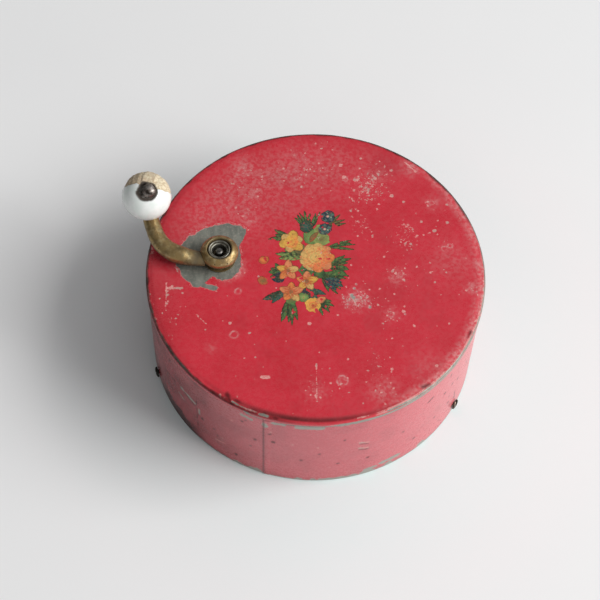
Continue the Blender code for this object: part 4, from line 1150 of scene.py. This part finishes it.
def make_transfer(material):
    step = 0.16
    c = Canvas(-19.5, 13.5, -21.8, 26.2, step)
    paint_leaves(c)
    paint_flowers(c)
    ragged = fbm(c.x, c.y, 0.9, 103, 3)
    lost = smooth(blobs(c.x, c.y, ((6, 17, 4, 0.5), (9, -5, 4, 0.6),
                                   (-14, 10, 4, 0.6), (-2, 21, 4, 0.5), (8, 1, 4, 0.4),
                                   (-15, -3, 4, 0.6), (-8, -18, 4, 0.45),
                                   (3, -14, 4, 0.45), (-17, 3.5, 3, 0.5)))
                  * ragged * 1.7, 0.42, 0.60)
    keep = (c.cover > 0.5) & (lost < 0.5)
    keep &= ~((fbm(c.x, c.y, 1.5, 107, 2) > 0.80))
    keep = keep[:-1, :-1]
    # drop lone cells and corner contacts so that the film is one clean closed sheet
    for _ in range(3):
        padded = np.pad(keep, 1)
        near = sum(padded[1 + i:padded.shape[0] - 1 + i, 1 + j:padded.shape[1] - 1 + j].astype(int)
                   for i, j in ((1, 0), (-1, 0), (0, 1), (0, -1)))
        keep = keep & (near >= 2)
    for _ in range(4):
        a, b = keep[:-1, :-1] & keep[1:, 1:], keep[1:, :-1] | keep[:-1, 1:]
        d, e = keep[1:, :-1] & keep[:-1, 1:], keep[:-1, :-1] | keep[1:, 1:]
        pinch = (a & ~b) | (d & ~e)
        grown = np.zeros_like(keep)
        for i in (0, 1):
            for j in (0, 1):
                grown[i:i + pinch.shape[0], j:j + pinch.shape[1]] |= pinch
        keep = keep | grown
    i, j = np.nonzero(keep)
    columns = c.x.shape[1]
    corner = lambda di, dj: (i + di) * columns + (j + dj)
    quads = np.stack([corner(0, 0), corner(1, 0), corner(1, 1), corner(0, 1)], -1)
    used, index = np.unique(quads, return_inverse=True)
    quads = index.reshape(-1, 4)
    x, y = c.x.ravel()[used], c.y.ravel()[used]
    ground = TOP + np.minimum(lid_height(x, y), 0.0)
    count = len(used)
    points = np.concatenate([np.stack([x, y, ground + 0.055], -1), np.stack([x, y, ground + 0.012], -1)])
    edges = np.concatenate([quads[:, [k, (k + 1) % 4]] for k in range(4)])
    keys = set(map(tuple, edges.tolist()))
    sides = [[b, a, a + count, b + count] for a, b in keys if (b, a) not in keys]
    faces = quads.tolist() + (quads[:, ::-1] + count).tolist() + sides
    piece = make_piece("floral_transfer", points, faces, material, "case", sharp=60)
    color = c.color.reshape(-1, 3)[used]
    color = np.concatenate([color, color])
    write_attribute(piece, "print", color[:, 0], color[:, 1], color[:, 2], 1.0)
    x2, y2 = np.concatenate([x, x]), np.concatenate([y, y])
    density = 0.20 + 0.35 * smooth(fbm(x2, y2, 4.0, 109, 2), 0.5, 0.8)
    write_attribute(piece, "wear", 0.0, 0.0, density, 0.0)
    return piece


# ---- crank --------------------------------------------------------------------------

def lathe(profile, segments, push=None):
    """Turns (radius, height) about Z; ends at radius 0 close, otherwise a ring."""
    turn = 2 * pi * np.arange(segments) / segments
    points, loops = [], []
    for index, (r, z) in enumerate(profile):
        if r == 0:
            loops.append((len(points), 1))
            points.append((0.0, 0.0, z))
        else:
            loops.append((len(points), segments))
            points += np.stack([r * np.cos(turn), r * np.sin(turn), np.full(segments, z)], -1).tolist()
    faces = []
    pairs = list(zip(loops, loops[1:])) + ([(loops[-1], loops[0])] if profile[0][0] > 0 else [])
    for (a, na), (b, nb) in pairs:
        for k in range(segments):
            n = (k + 1) % segments
            if na == 1:
                faces.append((a, b + k, b + n))
            elif nb == 1:
                faces.append((b, a + n, a + k))
            else:
                faces.append((a + k, a + n, b + n, b + k))
    points = np.array(points)
    return (push(points) if push else points), faces


def arc(centre, radius, start, end, steps):
    return [(centre[0] + radius * cos(radians(start + (end - start) * k / steps)),
             centre[1] + radius * sin(radians(start + (end - start) * k / steps))) for k in range(steps + 1)]


def lumps(points, cell, amount, seed):
    """Pushes points along their own direction from the axis by soft noise."""
    moved = points.copy()
    n = fbm(points[:, 0] + 3 * points[:, 2], points[:, 1] - 2 * points[:, 2], cell, seed, 3) - 0.5
    r = np.hypot(points[:, 0], points[:, 1])
    scale = 1 + amount * n / np.maximum(r, 1.0)
    moved[:, 0] *= scale
    moved[:, 1] *= scale
    moved[:, 2] += amount * 0.6 * (fbm(points[:, 0], points[:, 1], cell, seed + 7, 3) - 0.5)
    return moved


def make_hub(brass_look, steel_look):
    low, high = box_mm("crank_hub")
    bottom, top = low[2], high[2]
    at_hub = Matrix.Translation(Vector((HUB[0], HUB[1], 0.0)) * MM)
    profile = [(1.5, bottom), (4.3, bottom), (4.55, bottom + 0.15),
               (4.85, bottom + 0.7), (5.25, bottom + 1.4),
               (5.65, bottom + 2.0), (5.95, bottom + 2.5), (6.12, bottom + 3.0), (6.12, bottom + 3.4),
               (5.98, bottom + 3.8), (5.7, bottom + 4.2), (5.35, bottom + 4.6), (5.0, bottom + 4.95),
               (4.7, top - 0.22), (4.4, top - 0.06), (4.2, top), (4.0, top - 0.1), (3.9, top - 0.35),
               (3.88, top - 1.6), (3.85, bottom + 1.0), (1.5, bottom + 1.0)]
    points, faces = lathe(profile, 96, lambda p: lumps(p, 2.2, 0.12, 121))
    points[:, 2] = np.minimum(points[:, 2], top)
    barrel = make_piece("hub_barrel", points, faces,
                        brass_look, "crank", ["crank_hub"], at_hub, 60)
    reach = np.hypot(points[:, 0], points[:, 1])
    # painted shade low on the hub and inside its bore
    write_attribute(barrel, "soil_and_shade", np.maximum(smooth(points[:, 2], bottom + 3.1, bottom + 1.8) * 0.95,
                                               smooth(reach, 4.5, 4.0) * 0.6), 0.0, 0.0, 0.0)
    low, high = box_mm("hub_ferrule")
    top = high[2]
    profile = [(2.3, low[2]), (3.6, low[2]), (3.62, top - 0.35),
               (3.5, top - 0.08), (3.3, top), (3.1, top - 0.06),
               (2.98, top - 0.3), (2.9, top - 0.75), (2.75, top - 0.62),
               (2.55, top - 0.6), (2.38, top - 0.8),
               (2.3, top - 1.3)]
    points, faces = lathe(profile, 96, lambda p: lumps(p, 1.2, 0.10, 127))
    make_piece("hub_liner", points, faces, steel_look, "crank", ["hub_ferrule"], at_hub, 60)


def bezier(a, b, c, d, t):
    u = 1 - t
    return u ** 3 * a + 3 * u * u * t * b + 3 * u * t * t * c + t ** 3 * d


def make_arm(material):
    """The brass bar, flattened where it meets the hub and round at the knob; its curve was fitted."""
    hub3 = np.array([HUB[0], HUB[1], 46.6])
    soil_and_shade = []
    start = hub3 + np.array([-4.4, -2.1, -0.2])
    steps, sides = 90, 40
    leave = hub3 + np.array([-20.6, -1.7, 0.3])
    rise = KNOB_ORIGIN + np.array([3.2, -10.1, -3.8])
    spine = np.array([bezier(start, leave, rise, KNOB_ORIGIN, k / steps) for k in range(steps + 1)])
    sizes = np.interp(np.arange(steps + 1) / steps, [0, 0.05, 0.10, 0.17, 0.26, 1],
                      [2.3, 2.4, 2.6, 2.9, 3.0, 2.35])
    ahead = spine[-1] - spine[-2]
    ahead /= np.linalg.norm(ahead)
    reach = 2.7
    for share in (0.2, 0.4, 0.58, 0.73, 0.85, 0.93, 0.98):
        spine = np.vstack([spine, KNOB_ORIGIN + ahead * reach * share])
        sizes = np.append(sizes, 2.35 * sqrt(1 - share ** 2.4))
    along = np.gradient(spine, axis=0)
    along /= np.linalg.norm(along, axis=1)[:, None]
    up = np.array([0.0, 0.0, 1.0])
    points = []
    for k, centre in enumerate(spine):
        up = up - along[k] * np.dot(up, along[k])
        up /= np.linalg.norm(up)
        side = np.cross(along[k], up)
        turn = 2 * pi * np.arange(sides) / sides
        share = min(k / steps, 1.0)
        flat = float(smooth(np.array(share), 0.20, 0.06))
        height = sizes[k] * (1 - 0.30 * flat)
        width = sizes[k] * (1 + 0.10 * flat)
        ring = centre + height * np.cos(turn)[:, None] * up + width * np.sin(turn)[:, None] * side
        out = (ring - centre) / np.linalg.norm(ring - centre, axis=1)[:, None]
        # painted shade on the underside of the bar, away from the light, and where it meets the hub
        shaded = smooth(out @ np.array([-0.22, -0.55, -0.80]), 0.30, 0.95) * 0.95
        soil_and_shade.append(np.maximum(shaded, 0.75 * smooth(np.array(share), 0.13, 0.06)))
        lump = 1 + 0.035 * (fbm(turn * 1.5 + 9, np.full(sides, share * 14), 1.2, 131, 3) - 0.5) * 2
        points.append(centre + (ring - centre) * lump[:, None])
    points = np.concatenate(points)
    rings = len(spine)
    faces = grid_faces(rings, sides, closed=False).tolist()
    faces += [list(range(sides))[::-1], list(range((rings - 1) * sides, rings * sides))]
    bar = make_piece("crank_bar", points, faces, material, "crank", ["crank_arm"], None, 60)
    write_attribute(bar, "soil_and_shade", np.concatenate(soil_and_shade), 0.0, 0.0, 0.0)


def knob_place():
    """The knob's frame: Z along its pin, Y towards the back of the box."""
    z = KNOB_AXIS
    y = (Vector((0, 1, 0)) - z * z.y).normalized()
    x = y.cross(z)
    turn = Matrix((x, y, z)).transposed().to_4x4()
    return Matrix.Translation(Vector(KNOB_ORIGIN.tolist()) * MM) @ turn


def make_knob(material, rivet_look):
    centre, radius, half = 10.7, 7.9, 7.4
    low_angle, high_angle = 160.0, 14.0
    profile = [(1.35, centre + half * cos(radians(low_angle)))]
    steps = 84
    for k in range(steps + 1):
        a = radians(low_angle + (high_angle - low_angle) * k / steps)
        profile.append((radius * sin(a), centre + half * cos(a)))
    rim_height = profile[-1][1]
    profile += [(1.75, rim_height - 0.25), (1.35, rim_height - 0.5)]

    def chipped(p):
        x, y, z = p.T
        line = np.interp(x, [-8, -5.5, -3.4, -2.4, 2.4, 8], [1.5, 2.1, 2.4, 1.9, 0.9, 0.5])
        line = line + 0.5 * (fbm(x, z, 1.6, 141, 3) - 0.5)
        return y - line

    def push(p):
        moved = p.copy()
        x, y, z = p.T
        from_centre = np.stack([x, y, (z - centre)], -1)
        length = np.linalg.norm(from_centre, axis=1)
        unit = from_centre / length[:, None]
        inside = smooth(chipped(p), -0.05, 0.22) * (length > 4)
        rough = fbm(x * 1.2 + z * 0.4, y + z, 1.3, 143, 4) - 0.5
        r = np.hypot(x, y)
        turn = np.degrees(np.arctan2(y, x))
        hole_edge = 2.9 + 0.9 * (fbm(turn / 40, np.zeros(len(x)), 1.0, 149, 3) - 0.3)
        hole = smooth(r, hole_edge + 0.5, hole_edge - 0.3) * (z > centre)
        depth = inside * (0.30 + 0.45 * rough) + hole * 0.5
        return moved - unit * depth[:, None]

    points, faces = lathe(profile, 180)
    knob = make_piece("porcelain_knob", push(points), faces, material, "crank_knob", ["knob"],
                      knob_place(), 40)
    x, y, z = points.T
    r = np.hypot(x, y)
    turn = np.degrees(np.arctan2(y, x))
    hole_edge = 2.9 + 0.9 * (fbm(turn / 40, np.zeros(len(x)), 1.0, 149, 3) - 0.3)
    # the recess round the rivet, painted dark as shade in the material
    hole = smooth(r, hole_edge + 0.55, hole_edge + 0.1) * (z > centre)
    # the biscuit gets darker towards its left side and along the edge of the glaze
    biscuit_darkening = smooth(x, 1.0, -5.0) * 0.5 + smooth(np.abs(chipped(points)), 0.5, 0.0) * 0.3
    write_attribute(knob, "chip", field(-chipped(points), 1.0), biscuit_darkening, np.maximum(hole, r < 1.9), 0.0)

    low = -2.35 - 0.3
    head = 16.75
    profile = [(0, low - 0.9), (1.0, low - 0.85),
               (1.5, low - 0.6), (1.8, low - 0.05), (1.0, low), (1.0, head)]
    profile += [(2.6, head + 0.05), (2.7, head + 0.25),
                (2.45, head + 0.5), (2.2, head + 0.8), (2.1, head + 1.2),
                (1.85, head + 1.65), (1.45, head + 2.0), (0.95, head + 2.25),
                (0.5, head + 2.38), (0, head + 2.42)]

    def peen(p):
        moved = p.copy()
        x, y, z = p.T
        above = z > head - 0.1
        lump = fbm(x + 5, y + 2, 1.5, 151, 3) - 0.5
        r = np.hypot(x, y)
        turn = np.arctan2(y, x)
        grow = 1 + above * (0.22 * (fbm(np.cos(turn) * 2, np.sin(turn) * 2, 1.1, 153, 2) - 0.5))
        moved[:, 0] = x * grow + above * 0.62 * smooth(z, head + 0.3, head + 1.2)
        moved[:, 1] = y * grow
        moved[:, 2] = z + above * smooth(r, 0, 1.0) * 0.25 * lump
        return moved

    points, faces = lathe(profile, 72, peen)
    make_piece("knob_rivet", points, faces, rivet_look, "crank", ["knob_pin"], knob_place(), 60)


# ---- scene ---------------------------------------------------------------------------

paint_look = paint("painted_tin")
make_lid(paint_look)
make_wall(paint_look)
make_transfer(transfer_paint())
arm_brass = brass("arm_brass")
hub_brass = brass("hub_brass", warm=(0.40, 0.27, 0.11), pale=(0.60, 0.48, 0.26), polish=0.7)
pale_steel = steel("pale_steel", dark=(0.13, 0.12, 0.10), light=(0.34, 0.33, 0.28), rust=0.2, rough=0.5)
make_hub(hub_brass, pale_steel)
make_arm(arm_brass)
make_knob(porcelain(),
          steel("rivet_iron", dark=(0.035, 0.027, 0.022), light=(0.40, 0.36, 0.33), rust=0.25, rough=0.42))

slot_looks = {
    "bare_tin": bare_tin(), "brass": brass("works_brass", polish=0.6),
    "steel": steel("works_steel"), "wood": turned_wood(), "thread": wound_thread(),
    "worn_screw": steel("screw_worn", dark=(0.045, 0.030, 0.024),
                        light=(0.26, 0.21, 0.17), rust=0.4, rough=0.5),
    "screw": steel("screw_iron", dark=(0.010, 0.009, 0.008),
                   light=(0.055, 0.048, 0.042), rust=0.3, rough=0.6)}
BY_NAME = {"thread_winding": "thread", "bobbin_lower_flange": "wood", "bobbin_upper_flange": "wood",
           "bobbin_core": "wood", "base_plate": "bare_tin", "gear_bridge": "bare_tin"}
STEEL_NAMES = ("crank_shaft", "shaft_collar", "spindle_collar", "bobbin_spindle", "bridge_pillar")
for name, node in frame["nodes"].items():
    slot = BY_NAME.get(name) or ("steel" if name.startswith(STEEL_NAMES) else "brass")
    slot = "screw" if name.startswith("base_screw") else slot
    slot = "worn_screw" if name == "base_screw_1" else slot
    node.data.materials.clear()
    node.data.materials.append(slot_looks[slot])

bpy.ops.mesh.primitive_plane_add(size=3.0, location=(0.0, 0.0, -0.0001))
floor = bpy.context.object
floor.name = "table"
floor.data.materials.append(table_top())

eye = Vector((-14.2, -276.0, 494.3)) * MM
target = Vector((-4.3, 14.2, 0.0)) * MM
camera_data = bpy.data.cameras.new("camera")
camera_data.lens = 98.1
camera_data.sensor_width = 36.0
camera_data.clip_start = 0.01
camera = bpy.data.objects.new("camera", camera_data)
bpy.context.scene.collection.objects.link(camera)
roll = radians(2.21)
camera.matrix_world = (Matrix.Translation(eye) @ (target - eye).to_track_quat("-Z", "Y").to_matrix().to_4x4()
                       @ Matrix.Rotation(roll, 4, "Z"))
bpy.context.scene.camera = camera


def area_light(name, place, aim, size, power, color=(1.0, 1.0, 1.0)):
    data = bpy.data.lights.new(name, "AREA")
    data.shape = "RECTANGLE"
    data.size, data.size_y = size
    data.energy = power
    data.color = color
    lamp = bpy.data.objects.new(name, data)
    bpy.context.scene.collection.objects.link(lamp)
    lamp.location = place
    lamp.rotation_euler = (Vector(aim) - Vector(place)).to_track_quat("-Z", "Y").to_euler()
    return lamp


def from_angles(azimuth_degrees, elevation_degrees, distance):
    a, e = radians(azimuth_degrees), radians(elevation_degrees)
    return Vector((cos(e) * cos(a), cos(e) * sin(a), sin(e))) * distance


area_light("window", from_angles(-11.1, 39.6, 2.1), (0.0, 0.0, 0.0), (1.53, 1.03), 46.0, (1.0, 1.0, 0.99))
world = bpy.data.worlds.new("room")
world.use_nodes = True
sky = world.node_tree
background = sky.nodes["Background"]
background.inputs["Color"].default_value = (0.985, 0.99, 1.0, 1.0)
direction = sky.nodes.new("ShaderNodeTexCoord")
lean = sky.nodes.new("ShaderNodeVectorMath")
lean.operation = "DOT_PRODUCT"
lean.inputs[1].default_value = (0.33, -0.20, 0.0)
level = sky.nodes.new("ShaderNodeMath")
level.operation = "ADD"
level.inputs[1].default_value = 0.39
sky.links.new(direction.outputs["Generated"], lean.inputs[0])
sky.links.new(lean.outputs["Value"], level.inputs[0])
sky.links.new(level.outputs[0], background.inputs["Strength"])
bpy.context.scene.world = world
bpy.context.scene.view_settings.view_transform = "Standard"
